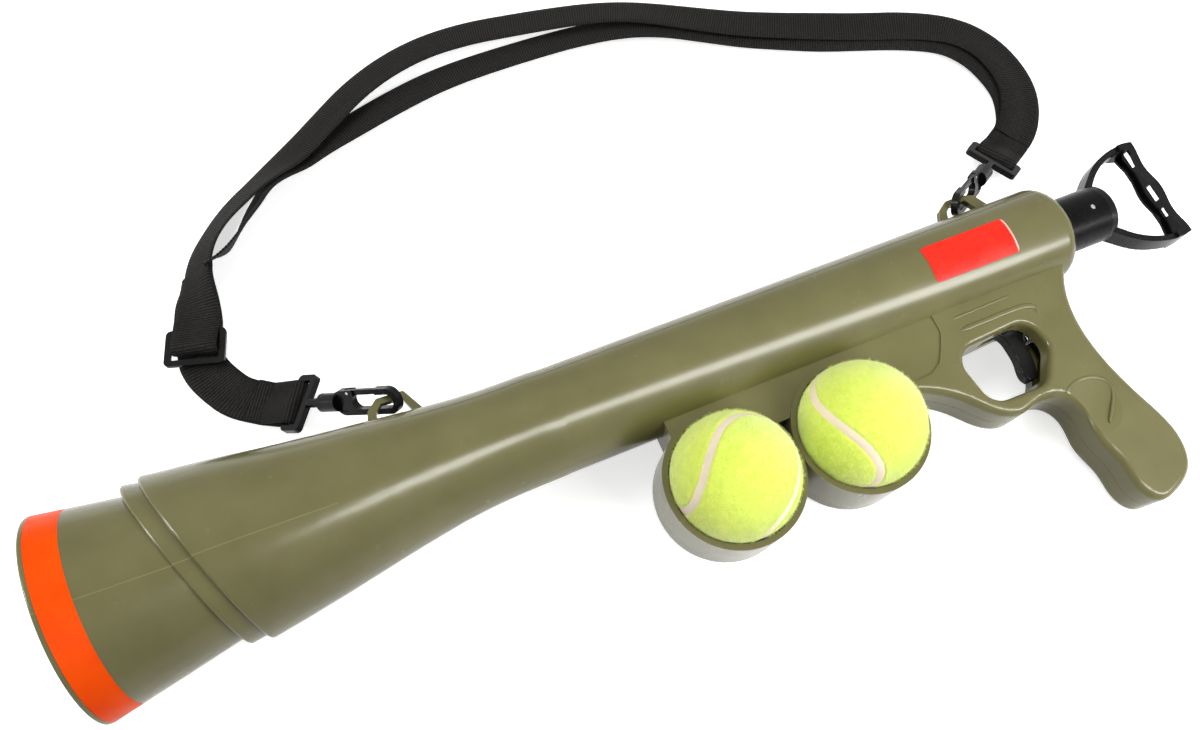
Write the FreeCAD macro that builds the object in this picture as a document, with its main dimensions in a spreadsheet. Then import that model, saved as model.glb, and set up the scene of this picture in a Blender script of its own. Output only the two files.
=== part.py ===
import FreeCAD, Part
import math
import os
import re
import Sketcher
from FreeCAD import Placement, Rotation, Vector

# Ball launcher. Launcher frame: X runs back from the muzzle along the barrel,
# Y points to the sling side, Z points out of the left side, millimetres.

doc = FreeCAD.newDocument("ball_launcher")
sheet = doc.addObject("Spreadsheet::Sheet", "sizes")

SIZES = {
    # barrel tube and its two moulded halves
    "tube_radius": 27.5, "shell_wall": 2.4, "tube_rear": 540, "rear_round": 8, "flare_end": 240,
    # slanted mouth of the shells and the collar ring in it
    "mouth_place": 58.7, "mouth_slant": 20.1, "mouth_wall": 2.6, "mouth_round": 1.8, "mouth_drop": 3.1,
    "ring_lead": 9, "ring_rear": 70, "ring_skirt": 14, "ring_gap": 0.15,
    # muzzle cone, its drooping rim and the coloured band
    "rim_place": -3.8, "rim_tall": 51, "rim_wide": 43.9, "rim_drop": 5.1, "rim_slant": 3.7,
    "cone_end": 80, "cone_tall": 35.6, "cone_wide": 32.3, "cone_drop": 3.6,
    "cone_wall": 2.2, "cone_lap": 5, "rim_round": 1, "ring_round": 1.6,
    "band_start": 2.4, "band_length": 13.9, "band_depth": 0.8, "band_gap": 0.1,
    # balls and the two side cups
    "ball_diameter": 65, "felt": 3,
    "cup_radius": 36.4, "cup_bore": 33.3, "cup_rim": 14, "cup_back": 19.3, "cup_floor": 2.8,
    "cup_hole": 13, "cup_split": 12, "cup_one": 304, "cup_pitch": 72, "cup_low": 62.8,
    # launching cup, cushion and air cylinder
    "seat_bore": 33.2, "seat_wall": 1.8, "seat_front": 71.4, "seat_depth": 24, "throat_bore": 12,
    "throat_end": 156, "flange": 3, "spigot": 6, "cushion": 3,
    "cylinder_bore": 23.1, "cylinder_radius": 24.9, "cylinder_rear": 440, "fit": 0.1,
    # piston, pull tube, main spring and bushes
    "bumper": 6, "piston_front": 172.5, "piston_length": 28, "piston_gap": 0.25, "seal_wire": 1.6,
    "seal_place": 8, "pull_radius": 16.3, "pull_wall": 2.2, "pull_end": 572, "stroke": 110,
    "spring_wire": 2.8, "spring_radius": 19.6, "spring_turns": 20,
    "bush_length": 12, "bush_gap": 0.08, "rear_bush_front": 514, "key": 3, "key_depth": 1.1,
    # keel, trigger housing and grip
    "housing_half": 14, "housing_round": 4, "keel_front": 283, "keel_low": 46, "panel_depth": 0.7,
    "hole_round": 11, "hole_lip": 3,
    # sling lugs
    "lug_half": 2,
    # trigger group
    "trigger_x": 485, "trigger_y": 33.2, "trigger_half": 3.6,
    "sear_x": 493, "sear_y": 24.6, "sear_half": 2.6, "pin_radius": 1.5, "pin_half": 10.8,
    # pull handle
    "handle_half": 32.6, "handle_length": 46.2, "grip_bar": 4.4, "grip_pocket": 2.4,
    # screws
    "screw_shank": 1.45, "screw_head": 3, "screw_head_deep": 2, "boss_radius": 3.8,
    # webbing and its plastic fittings
    "web_width": 25, "web_thick": 1.5, "hook_half": 2, "hook_bar": 3.2, "hook_slot": 7.6,
    "hook_reach": 31, "hook_length": 71, "loop_bar": 3.6,
    # label patch on the left side
    "label_start": 447, "label_length": 53, "label_width": 21, "label_thick": 0.3,
}
for row, (alias, value) in enumerate(SIZES.items(), start=1):
    sheet.set("A%d" % row, alias)
    sheet.set("B%d" % row, str(value))
    sheet.setAlias("B%d" % row, alias)
doc.recompute()


def size(alias):
    return float(sheet.get(alias))


# Turns that carry a primitive's own Z along the barrel, and an ellipse's long radius up
ALONG = Rotation(Vector(0, 1, 0), 90)
UPRIGHT = Rotation(0.5, 0.5, 0.5, 0.5)
SPAN = 400
OVERCUT = 1
CUPS = {1: "sizes.cup_one", 2: "(sizes.cup_one + sizes.cup_pitch)"}
launcher_parts = {}
floor_parts = {}


def bind(item, formulas):
    """Bind an object's properties to formulas of the sheet's sizes."""
    for name, formula in formulas.items():
        item.setExpression(name, str(formula))
    return item


def value(formula):
    """The number that a formula of the sheet's sizes gives."""
    text = re.sub(r"sizes\.(\w+)", lambda found: repr(size(found.group(1))), str(formula))
    return float(FreeCAD.Units.Quantity(text).Value)


def place(item, x, y, z):
    return bind(item, {"Placement.Base.x": x, "Placement.Base.y": y, "Placement.Base.z": z})


def cylinder(name, radius, length, x=0, y=0, z=0, turn=ALONG):
    rod = doc.addObject("Part::Cylinder", name)
    rod.Placement = Placement(Vector(), turn)
    bind(rod, {"Radius": radius, "Height": length})
    return place(rod, x, y, z)


def box(name, long, tall, deep, x, y, z, turn=Rotation()):
    block = doc.addObject("Part::Box", name)
    block.Placement = Placement(Vector(), turn)
    bind(block, {"Length": long, "Width": tall, "Height": deep})
    return place(block, x, y, z)


def ball(name, radius, x, y, z):
    sphere = doc.addObject("Part::Sphere", name)
    bind(sphere, {"Radius": radius})
    return place(sphere, x, y, z)


def cut(name, base, tool):
    result = doc.addObject("Part::Cut", name)
    result.Base = base
    result.Tool = tool
    return result


def fuse(name, shapes):
    result = doc.addObject("Part::MultiFuse", name)
    result.Shapes = shapes
    return result


def common(name, shapes):
    result = doc.addObject("Part::MultiCommon", name)
    result.Shapes = shapes
    return result


def solid(name, shape):
    """A piece whose shape comes from a function of the sheet's sizes."""
    result = doc.addObject("Part::Feature", name)
    result.Shape = shape
    return result


def piece(node, item, group=launcher_parts):
    """Register a finished piece under its name."""
    item.Label = node
    group[node] = item
    return item


def ring(name, outer, bore, length, x=0):
    """A plain tube along the barrel."""
    return cut(name, cylinder(name + "_outer", outer, length, x),
               cylinder(name + "_bore", bore, "%s + 2 * %d" % (length, OVERCUT), "%s - %d" % (x, OVERCUT)))


def oval_loft(name, stations):
    """A solid through upright ovals, each a place, a tall radius, a wide radius, a drop and a lean."""
    ovals = []
    for number, (x, tall, wide, drop, lean) in enumerate(stations):
        oval = doc.addObject("Part::Ellipse", "%s_oval_%d" % (name, number))
        bind(oval, {"MajorRadius": tall, "MinorRadius": wide})
        oval.Placement = Placement(Vector(), Rotation(Vector(0, 0, 1), value(lean)).multiply(UPRIGHT))
        ovals.append(place(oval, x, "-(%s)" % drop, 0))
    loft = doc.addObject("Part::Loft", name)
    loft.Sections = ovals
    loft.Solid = True
    return loft


def lean_block(name, x, y, angle, ahead=True):
    """A block that holds everything ahead of a plane leaning about Z, or everything behind it."""
    block = box(name, SPAN, SPAN, SPAN, 0, 0, 0)
    turn = Rotation(Vector(0, 0, 1), value(angle))
    corner = turn.multVec(Vector(-SPAN if ahead else 0, -SPAN / 2, -SPAN / 2))
    block.Placement = Placement(corner, turn)
    return place(block, "%s + %.6f" % (x, corner.x), "%s + %.6f" % (y, corner.y), corner.z)


def extrusion(outline, low, high):
    """A closed flat outline drawn at Z 0, made solid between two heights."""
    body = Part.Face(outline).extrude(Vector(0, 0, high - low))
    body.translate(Vector(0, 0, low))
    return body


def curve(points):
    spline = Part.BSplineCurve()
    spline.interpolate([Vector(x, y, 0) for x, y in points])
    return spline.toShape()


def straight(first, last):
    return Part.makeLine(Vector(first[0], first[1], 0), Vector(last[0], last[1], 0))


def polygon(points):
    corners = [Vector(x, y, 0) for x, y in points]
    return Part.makePolygon(corners + corners[:1])


def rounded(body, radius, axis=2):
    """Round the edges of an extruded block that run along one axis."""
    edges = []
    for edge in body.Edges:
        first, last = edge.Vertexes[0].Point, edge.Vertexes[-1].Point
        run = last - first
        if abs(run[axis]) > 0.99 * max(run.Length, 1e-6) and run.Length > 1e-6:
            edges.append(edge)
    return body.makeFillet(radius, edges)


# Barrel shells

# Outer ovals of the flare: place, tall radius, wide radius and drop of the centre
FLARE = [(35, 50.6, 43.9, 3.3), (70, 45.6, 40.2, 2.9), (100, 41.1, 37.8, 2.7), (130, 36.6, 34.8, 1.8),
         (160, 32.3, 31.8, 0.6), (190, 28.9, 28.9, 0.1),
         (215, "sizes.tube_radius + 0.4", "sizes.tube_radius + 0.4", 0),
         ("sizes.flare_end", "sizes.tube_radius - 0.5", "sizes.tube_radius - 0.5", 0)]
TUBE_LAP = 30


def flare(name, wall_ahead, wall_behind):
    """The flare with its surface set in by a wall that thins behind the mouth."""
    stations = []
    for number, (x, tall, wide, drop) in enumerate(FLARE):
        wall = wall_ahead if number < 2 else wall_behind
        stations.append((x, "%s - (%s)" % (tall, wall), "%s - (%s)" % (wide, wall), drop, 0))
    return oval_loft(name, stations)


# Underside of the trigger guard, front of the grip, its butt and its back
HOUSING = [(405, -57), (424, -64), (436, -73.5), (446, -84), (458, -89.5), (473, -86.8), (484.5, -89.5),
           (490.5, -99), (490, -115), (494, -132), (495, -146), (502, -156), (515, -154.8), (528, -146.5),
           (532.5, -132), (527, -108), (519, -80), (518, -52), (526, -30)]
HOUSING_TOP = [(530, -15), (405, -15)]
GUARD_HOLE = [(441.5, -47), (490, -44.5), (494, -62), (481, -80.3), (447.5, -79.5)]
# Outline of the shallow panel ahead of the guard, and the dish for the fingers on each side of the grip
PANEL = [(395, -8), (441, -8), (441, -34), (437, -41), (431.5, -49), (424, -52.8), (395, -52.8)]
DISH = (497, -101)
DISH_RADIUS = 15
DISH_DEPTH = 1.1


def set_in(points, wall):
    """Points of a smooth curve moved to its left by a wall, square to the curve."""
    spline = Part.BSplineCurve()
    spline.interpolate([Vector(x, y, 0) for x, y in points])
    moved = []
    for x, y in points:
        tangent = spline.tangent(spline.parameter(Vector(x, y, 0)))[0]
        moved.append((x - tangent.y * wall, y + tangent.x * wall))
    return moved


def housing_outline(wall=0):
    """Closed outline of the housing and grip, set in by a wall; the curve runs counterclockwise."""
    edge = set_in(HOUSING, wall)
    return Part.Wire([curve(edge), straight(edge[-1], HOUSING_TOP[0]), straight(*HOUSING_TOP),
                      straight(HOUSING_TOP[1], edge[0])])


def housing_solid():
    """Trigger housing, guard and grip in one block with its long edges rounded."""
    half = size("housing_half")
    block = extrusion(housing_outline(), -half, half)
    edges = [edge for edge in block.Edges
             if abs(abs(edge.CenterOfMass.z) - half) < 0.01 and edge.CenterOfMass.y < HOUSING[1][1]]
    block = block.makeFillet(size("housing_round"), edges).cut(guard_hole(0, 40))
    lips = [edge for edge in block.Edges
            if abs(abs(edge.CenterOfMass.z) - half) < 0.01 and in_hole(edge.CenterOfMass)]
    block = block.makeFillet(size("hole_lip"), lips)
    panel = rounded(extrusion(polygon(PANEL), 0, half), 4)
    ball_radius = (DISH_RADIUS ** 2 + DISH_DEPTH ** 2) / (2 * DISH_DEPTH)
    dish = Part.makeSphere(ball_radius, Vector(*DISH, half - DISH_DEPTH + ball_radius))
    for side in (1, -1):
        sunk = panel.translated(Vector(0, 0, half - size("panel_depth") if side > 0
                                       else size("panel_depth") - 2 * half))
        bowl = dish if side > 0 else dish.mirror(Vector(), Vector(0, 0, 1))
        block = block.cut([sunk, bowl])
    return block


def in_hole(spot):
    """Whether a point lies on or within the guard hole's outline."""
    xs = [x for x, y in GUARD_HOLE]
    ys = [y for x, y in GUARD_HOLE]
    return min(xs) - 1 < spot.x < max(xs) + 1 and min(ys) - 1 < spot.y < max(ys) + 1


def guard_hole(growth, half):
    outline = polygon(GUARD_HOLE)
    if growth:
        outline = outline.makeOffset2D(growth, 2)
    return rounded(extrusion(outline, -half, half), size("hole_round") + growth)


def housing_hollow():
    """Room inside the housing and grip, with the wall kept round the guard hole."""
    wall = size("shell_wall")
    half = size("housing_half") - wall
    room = extrusion(housing_outline(wall), -half, half)
    return room.cut(guard_hole(wall, 2 * half))


# Screw places: X, Y and the depth of the seat of the head below the split plane
BETWEEN_CUPS = "(sizes.cup_one + sizes.cup_pitch / 2)"
SCREWS = [(512, -141, 11), (507, -98, 11), (424, -47, 11), (440, -31, 11), (BETWEEN_CUPS, -36, 11),
          (141, 25, 14), (141, -27, 14)]
SCREW_REACH = 9
HEAD_GAP = 0.15
FRONT_LUG = [(147.5, 30), (150, 38.5), (156, 43.6), (170, 42.8), (177.5, 28)]
FRONT_WINDOW = [(152.6, 30), (153.8, 36.5), (157.4, 40.2), (168, 39.4), (172.4, 28)]
REAR_LUG = [(482, 24), (486.5, 34), (493, 38.3), (504, 38.4), (511, 36), (518, 24)]
REAR_WINDOW = [(487.4, 24), (490.4, 32), (494.2, 35), (504.4, 35), (510.4, 24)]


def lug(name, outline, window):
    half = size("lug_half")
    body = rounded(extrusion(polygon(outline), -half, half), 1.5)
    return solid(name, body.cut(extrusion(polygon(window), -2 * half, 2 * half)))


def mouth_edges(body, x):
    """The numbers of the edges of a body that lie on the slanted plane through a place."""
    normal = Rotation(Vector(0, 0, 1), size("mouth_slant")).multVec(Vector(1, 0, 0))
    through = Vector(x, -size("mouth_drop"), 0)
    found = [number for number, edge in enumerate(body.Shape.Edges, start=1)
             if all(abs((vertex.Point - through).dot(normal)) < 0.01 for vertex in edge.Vertexes)
             and abs((edge.CenterOfMass - through).dot(normal)) < 0.01]
    return found


def rounded_edges(name, base, numbers, radius):
    result = doc.addObject("Part::Fillet", name)
    result.Base = base
    result.Edges = [(number, radius, radius) for number in numbers]
    return result


def shell_outside():
    start = "sizes.flare_end - %s" % TUBE_LAP
    rod = cylinder("tube_rod", "sizes.tube_radius", "sizes.tube_rear - (%s)" % start, start)
    doc.recompute()
    rim = [number for number, edge in enumerate(rod.Shape.Edges, start=1)
           if abs(edge.CenterOfMass.x - size("tube_rear")) < 0.01]
    rounded_rod = rounded_edges("tube_outside", rod, rim[:1], size("rear_round"))
    mouth = cut("flare_mouth", flare("flare_outside", 0, 0),
                lean_block("flare_mouth_block", "sizes.mouth_place", "-sizes.mouth_drop", "sizes.mouth_slant"))
    doc.recompute()
    bell = rounded_edges("flare_rounded", mouth, mouth_edges(mouth, size("mouth_place")), size("mouth_round"))
    cups = [cylinder("cup_%d_outside" % number, "sizes.cup_radius", "sizes.cup_rim + sizes.cup_back",
                     x, "-sizes.cup_low", "-sizes.cup_back", Rotation())
            for number, x in CUPS.items()]
    keel = box("keel", "%s - sizes.keel_front" % HOUSING[1][0], "sizes.keel_low - 15",
               "2 * sizes.housing_half - 2 * sizes.panel_depth", "sizes.keel_front", "-sizes.keel_low",
               "sizes.panel_depth - sizes.housing_half")
    lugs = [lug("front_lug", FRONT_LUG, FRONT_WINDOW), lug("rear_lug", REAR_LUG, REAR_WINDOW)]
    housing = solid("housing", housing_solid())
    outside = fuse("shell_outside", [bell, rounded_rod, keel, housing] + cups + lugs)
    return outside


def shell_room():
    """The hollow of the barrel, its ribs left standing round the launching cup and the cylinder."""
    wide = cut("flare_room", flare("flare_inside", "sizes.mouth_wall", "sizes.shell_wall"),
               fuse("flare_ribs", [
                   ring("cup_rib", 60, "sizes.seat_bore + sizes.seat_wall + sizes.fit", 3,
                        "sizes.ring_rear + sizes.ring_skirt + sizes.ring_gap"),
                   ring("cylinder_rib", 60, "sizes.cylinder_radius + sizes.fit", 3,
                        "sizes.throat_end + sizes.flange + 4")]))
    bore = cut("tube_room", cylinder("tube_bore", "sizes.tube_radius - sizes.shell_wall",
                                     "sizes.tube_rear - sizes.shell_wall - sizes.flare_end + %s" % TUBE_LAP,
                                     "sizes.flare_end - %s" % TUBE_LAP),
               fuse("tube_ribs", [
                   ring("spring_rib", 60, "sizes.pull_radius + 1", 3,
                        "sizes.cylinder_rear + sizes.bush_length + 0.2"),
                   ring("bush_rib", 60, "sizes.pull_radius + 1", 3, "sizes.rear_bush_front - 3.1")]))
    housing = solid("housing_room", housing_hollow())
    keel = cut("keel_room",
               box("keel_inside", "%s - sizes.keel_front" % HOUSING_TOP[1][0],
                   "sizes.keel_low - sizes.shell_wall - 15", "2 * sizes.housing_half - 2 * sizes.shell_wall",
                   "sizes.keel_front + sizes.shell_wall", "sizes.shell_wall - sizes.keel_low",
                   "sizes.shell_wall - sizes.housing_half"),
               fuse("keel_cups", [
                   cylinder("keel_cup_%d" % number, "sizes.cup_radius", 80, x,
                            "-sizes.cup_low", -40, Rotation())
                   for number, x in CUPS.items()]))
    return fuse("shell_room", [wide, bore, housing, keel])


def screw_bosses(outside):
    pillars = [cylinder("boss_%d" % number, "sizes.boss_radius", "4 * sizes.housing_half", x, y,
                        "-2 * sizes.housing_half", Rotation())
               for number, (x, y, seat) in enumerate(SCREWS)]
    return common("screw_bosses", [fuse("boss_pillars", pillars), outside])


def pin_bosses():
    """Pillars that carry the trigger and sear pins, from the levers out to the housing wall."""
    pillars = []
    for name, x, y, half, radius in (("trigger", "sizes.trigger_x", "-sizes.trigger_y", "sizes.trigger_half", 3.6),
                                     ("sear", "sizes.sear_x", "-sizes.sear_y", "sizes.sear_half", 3)):
        for side in (1, -1):
            reach = "sizes.housing_half - 1 - %s - %s" % (half, PIN_SIDE[name])
            start = "%s + %s" % (half, PIN_SIDE[name]) if side > 0 else "1 - sizes.housing_half"
            pillars.append(cylinder("%s_boss_%d" % (name, side), radius, reach, x, y, start, Rotation()))
    pillars.append(box("spring_seat", 2, 10, "2 * sizes.housing_half - 2", "sizes.trigger_x + %s" % SPRING_SEAT,
                       "-sizes.trigger_y - %s" % (SPRING_DROP + 5), "1 - sizes.housing_half"))
    return pillars


# Place of the trigger spring behind and below the trigger's pivot, and of the rib that carries it
SPRING_START = 5.4
SPRING_SEAT = 16
SPRING_DROP = 18.8


PIN_SIDE = {"trigger": 0.4, "sear": 3.2}


def shell_cuts():
    """Everything that is taken out of the shells after their bosses are in."""
    holes = []
    for number, (x, y, seat) in enumerate(SCREWS):
        holes.append(cylinder("screw_hole_%d" % number, "sizes.screw_shank + 0.05", "%s + %s + 0.5"
                              % (seat + OVERCUT, SCREW_REACH), x, y, -seat - OVERCUT, Rotation()))
        holes.append(cylinder("screw_seat_%d" % number, "sizes.screw_head + %s" % HEAD_GAP, 30, x, y,
                              -seat - 30, Rotation()))
    for number, x in CUPS.items():
        holes.append(cylinder("cup_%d_bore" % number, "sizes.cup_bore", 60, x,
                              "-sizes.cup_low", "sizes.cup_floor - sizes.cup_back", Rotation()))
        holes.append(cylinder("cup_%d_hole" % number, "sizes.cup_hole", 60, x,
                              "-sizes.cup_low", -40, Rotation()))
    for name, x, y in (("trigger", "sizes.trigger_x", "-sizes.trigger_y"), ("sear", "sizes.sear_x", "-sizes.sear_y")):
        holes.append(cylinder("%s_pin_hole" % name, "sizes.pin_radius + 0.05", "2 * sizes.pin_half + 0.4",
                              x, y, "-sizes.pin_half - 0.2", Rotation()))
    holes.append(box("trigger_slot", 35, 42, "2 * sizes.trigger_half + 1.2", "sizes.trigger_x - 19", -77,
                     "-sizes.trigger_half - 0.6"))
    holes.append(cylinder("rear_mouth", "sizes.pull_radius + 0.5", 40, "sizes.tube_rear - 20"))
    holes.append(lean_block("mouth_block", "sizes.mouth_place", "-sizes.mouth_drop", "sizes.mouth_slant"))
    return fuse("shell_cuts", holes)


def barrel_shells():
    outside = shell_outside()
    hollowed = cut("shell_walls", outside, shell_room())
    whole = cut("shell_pair", fuse("shell_with_bosses", [hollowed, screw_bosses(outside)] + pin_bosses()),
                shell_cuts())
    left_side = [box("left_space", 2 * SPAN, SPAN, SPAN, -50, -SPAN / 2, 0)]
    for number, x in CUPS.items():
        left_side.append(cylinder("left_cup_%d" % number, "sizes.cup_radius", "sizes.cup_split", x,
                                  "-sizes.cup_low", "-sizes.cup_split", Rotation()))
    left = fuse("left_region", left_side)
    piece("left_body_shell", common("left_shell", [whole, left]))
    piece("right_body_shell", cut("right_shell", whole, left))


# Muzzle cone, its band and the collar ring

def cone_loft(name, inset, ahead=0):
    """The muzzle cone's outside, set in by an amount and lengthened ahead of its rim."""
    lean = "sizes.rim_slant"
    return oval_loft(name, [
        ("sizes.rim_place - %s" % ahead, "sizes.rim_tall - (%s) + %s" % (inset, 0.184 * ahead),
         "sizes.rim_wide - (%s) + %s" % (inset, 0.138 * ahead), "sizes.rim_drop + %s" % (0.018 * ahead), lean),
        ("sizes.cone_end", "sizes.cone_tall - (%s)" % inset, "sizes.cone_wide - (%s)" % inset,
         "sizes.cone_drop", 0)])


def band_slab(name, start, length):
    """Everything between two planes that lean with the rim."""
    x = "sizes.rim_place + %s" % start
    behind = "%s + %s" % (x, length)
    return cut(name, lean_block(name + "_behind", x, "-sizes.rim_drop", "sizes.rim_slant", False),
               lean_block(name + "_end", behind, "-sizes.rim_drop", "sizes.rim_slant", False))


def muzzle_cone():
    plain = cone_loft("cone_plain", 0)
    doc.recompute()
    rim = [number for number, edge in enumerate(plain.Shape.Edges, start=1)
           if edge.Closed and edge.CenterOfMass.x < size("rim_place") + 5]
    outside = rounded_edges("cone_outside", plain, rim, size("rim_round"))
    walls = cut("cone_walls", outside, cone_loft("cone_inside", "sizes.cone_wall", 4))
    groove = common("band_groove", [
        cut("band_depth_shell", cone_loft("cone_over", -2, 4),
            cone_loft("cone_under", "sizes.band_depth + sizes.band_gap", 4)),
        band_slab("groove_slab", "sizes.band_start - sizes.band_gap", "sizes.band_length + 2 * sizes.band_gap")])
    rear = lean_block("cone_rear", "sizes.mouth_place - sizes.ring_lead + sizes.cone_lap", "-sizes.mouth_drop",
                      "sizes.mouth_slant", False)
    piece("muzzle_cone", cut("cone_trimmed", walls, fuse("cone_cuts", [groove, rear])))
    piece("muzzle_band", common("band", [cut("band_shell", outside, cone_loft("cone_mid", "sizes.band_depth", 4)),
                                         band_slab("band_slab", "sizes.band_start", "sizes.band_length")]))


def collar_ring():
    """Stepped ring in the mouth: it holds the cone ahead, funnels to the launching cup and reaches over it."""
    outside = flare("ring_outside", "sizes.mouth_wall + sizes.ring_gap", "sizes.shell_wall + sizes.ring_gap")
    front = lean_block("ring_front", "sizes.mouth_place - sizes.ring_lead", "-sizes.mouth_drop", "sizes.mouth_slant")
    rear = box("ring_behind", SPAN, SPAN, SPAN, "sizes.ring_rear + sizes.ring_skirt", -SPAN / 2, -SPAN / 2)
    cup_room = cylinder("ring_cup_room", "sizes.seat_bore + sizes.seat_wall + 2 * sizes.ring_gap",
                        "sizes.ring_skirt + 1", "sizes.ring_rear")
    funnel = oval_loft("ring_funnel", [(30, 41.6, 36.2, 4.4, 0), (45, 40, 35.4, 4, 0),
                                       ("sizes.ring_rear + 1", "sizes.seat_bore + 0.2", "sizes.seat_bore + 0.2",
                                        0, 0)])
    recess = cut("ring_recess", cone_loft("cone_bed", "-sizes.ring_gap", 4),
                 lean_block("recess_end", "sizes.mouth_place - sizes.ring_lead + sizes.cone_lap + sizes.ring_gap",
                            "-sizes.mouth_drop", "sizes.mouth_slant", False))
    faced = cut("ring_faced", outside, fuse("ring_ends", [front, rear]))
    doc.recompute()
    eased = rounded_edges("ring_eased", faced, mouth_edges(faced, size("mouth_place") - size("ring_lead")),
                          size("ring_round"))
    piece("collar_ring", cut("ring_trimmed", eased, fuse("ring_cuts", [funnel, recess, cup_room])))


# Launching cup, cushion, air cylinder

NECK_WALL = 2.4
CUSHION_GAP = 0.2


def revolved(name, profile):
    """A body turned about the barrel axis from an outline of places and radii."""
    body = doc.addObject("PartDesign::Body", name)
    sketch = body.newObject("Sketcher::SketchObject", name + "_outline")
    plane = [item for item in body.Origin.OriginFeatures if item.Role == "XY_Plane"][0]
    sketch.AttachmentSupport = [(plane, "")]
    sketch.MapMode = "FlatFace"
    corners = [Vector(value(x), value(radius), 0) for x, radius in profile]
    for first, last in zip(corners, corners[1:] + corners[:1]):
        sketch.addGeometry(Part.LineSegment(first, last), False)
    for number in range(len(corners)):
        following = (number + 1) % len(corners)
        sketch.addConstraint(Sketcher.Constraint("Coincident", number, 2, following, 1))
    for number, (x, radius) in enumerate(profile):
        for kind, formula, reach in (("DistanceX", x, corners[number].x), ("DistanceY", radius, corners[number].y)):
            index = sketch.addConstraint(Sketcher.Constraint(kind, -1, 1, number, 1, reach))
            sketch.setExpression("Constraints[%d]" % index, str(formula))
    turned = body.newObject("PartDesign::Revolution", name + "_turned")
    turned.Profile = sketch
    turned.ReferenceAxis = (sketch, ["H_Axis"])
    turned.Angle = 360
    return body


def bowl_edge(middle, radius, first, last):
    """Arc of the bowl, drawn beside the barrel axis between two heights."""
    spots = []
    for height in (first, (first + last) / 2, last):
        spots.append(Vector(middle + math.sqrt(max(radius ** 2 - height ** 2, 0)), height, 0))
    return Part.Arc(*spots).toShape()


def turned(edges):
    """A solid turned about the barrel axis from edges drawn beside it."""
    return Part.Face(Part.Wire(Part.__sortEdges__(edges))).revolve(Vector(), Vector(1, 0, 0), 360)


def run_of_lines(corners):
    return [straight(first, last) for first, last in zip(corners, corners[1:])]


def launching_cup():
    """Cup that a ball drops into, round at its foot and open to the air cylinder through a throat."""
    front = size("seat_front")
    middle = front + size("seat_depth")
    bore = size("seat_bore")
    outer = bore + size("seat_wall")
    throat = size("throat_bore")
    neck = throat + NECK_WALL
    collar = size("throat_end")
    seat = collar + size("flange")
    tip = seat + size("spigot")
    outside = bowl_edge(middle, outer, outer, neck)
    inside = bowl_edge(middle, bore, bore, throat)
    neck_start = middle + math.sqrt(outer ** 2 - neck ** 2)
    throat_start = middle + math.sqrt(bore ** 2 - throat ** 2)
    edges = run_of_lines([(middle, bore), (front, bore), (front, outer), (middle, outer)])
    edges += run_of_lines([(neck_start, neck), (collar, neck), (collar, size("cylinder_radius")),
                           (seat, size("cylinder_radius")), (seat, size("cylinder_bore") - size("fit")),
                           (tip, size("cylinder_bore") - size("fit")), (tip, throat), (throat_start, throat)])
    piece("launching_cup", solid("launching_cup", turned(edges + [outside, inside])))


def ball_cushion():
    """Foam ring in the foot of the cup, its back hollowed to fit the bowl."""
    middle = size("seat_front") + size("seat_depth")
    back = size("seat_bore") - CUSHION_GAP
    front = size("seat_bore") - size("cushion")
    low = size("throat_bore") + 3
    high = size("seat_bore") - 6

    def on_bowl(radius, height):
        return middle + math.sqrt(radius ** 2 - height ** 2), height

    edges = [bowl_edge(middle, back, high, low), bowl_edge(middle, front, high, low),
             straight(on_bowl(front, low), on_bowl(back, low)), straight(on_bowl(front, high), on_bowl(back, high))]
    piece("ball_cushion", solid("ball_cushion", turned(edges)))


def air_cylinder():
    start = "sizes.throat_end + sizes.flange"
    piece("air_cylinder", ring("cylinder_tube", "sizes.cylinder_radius", "sizes.cylinder_bore",
                               "sizes.cylinder_rear - sizes.throat_end - sizes.flange", start))
    piece("front_bumper", ring("bumper_ring", "sizes.cylinder_bore - sizes.fit", "sizes.throat_bore + 1",
                               "sizes.bumper", "%s + sizes.spigot" % start))


# Piston, pull tube, spring and bushes

def piston():
    front = "sizes.piston_front"
    rear = "sizes.piston_front + sizes.piston_length"
    bore = "sizes.cylinder_bore - sizes.piston_gap"
    groove = "(sizes.seal_wire + 0.1)"
    place_x = "%s + sizes.seal_place" % front
    bottom = "%s - 2 * sizes.seal_wire" % bore
    profile = [(front, 0), (front, bore), ("%s - %s" % (place_x, groove), bore),
               ("%s - %s" % (place_x, groove), bottom), ("%s + %s" % (place_x, groove), bottom),
               ("%s + %s" % (place_x, groove), bore), (rear, bore),
               (rear, "sizes.pull_radius + sizes.bush_gap"),
               ("%s - 14" % rear, "sizes.pull_radius + sizes.bush_gap"), ("%s - 14" % rear, 0)]
    drill = cylinder("piston_pin_hole", "sizes.pin_radius + 0.05", "2 * sizes.cylinder_bore", "%s - 7" % rear, 0,
                     "-sizes.cylinder_bore", Rotation())
    piece("piston", cut("piston_drilled", revolved("piston_body", profile), drill))
    seal = doc.addObject("Part::Torus", "seal")
    seal.Placement = Placement(Vector(), ALONG)
    bind(seal, {"Radius1": "sizes.cylinder_bore - 0.05 - sizes.seal_wire", "Radius2": "sizes.seal_wire"})
    piece("piston_seal", place(seal, place_x, 0, 0))
    piece("piston_pin", cylinder("piston_pin", "sizes.pin_radius", "2 * sizes.cylinder_bore - 2",
                                 "%s - 7" % rear, 0, "1 - sizes.cylinder_bore", Rotation()))


CATCH_GAP = 0.5
CATCH_LENGTH = 9


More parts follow.
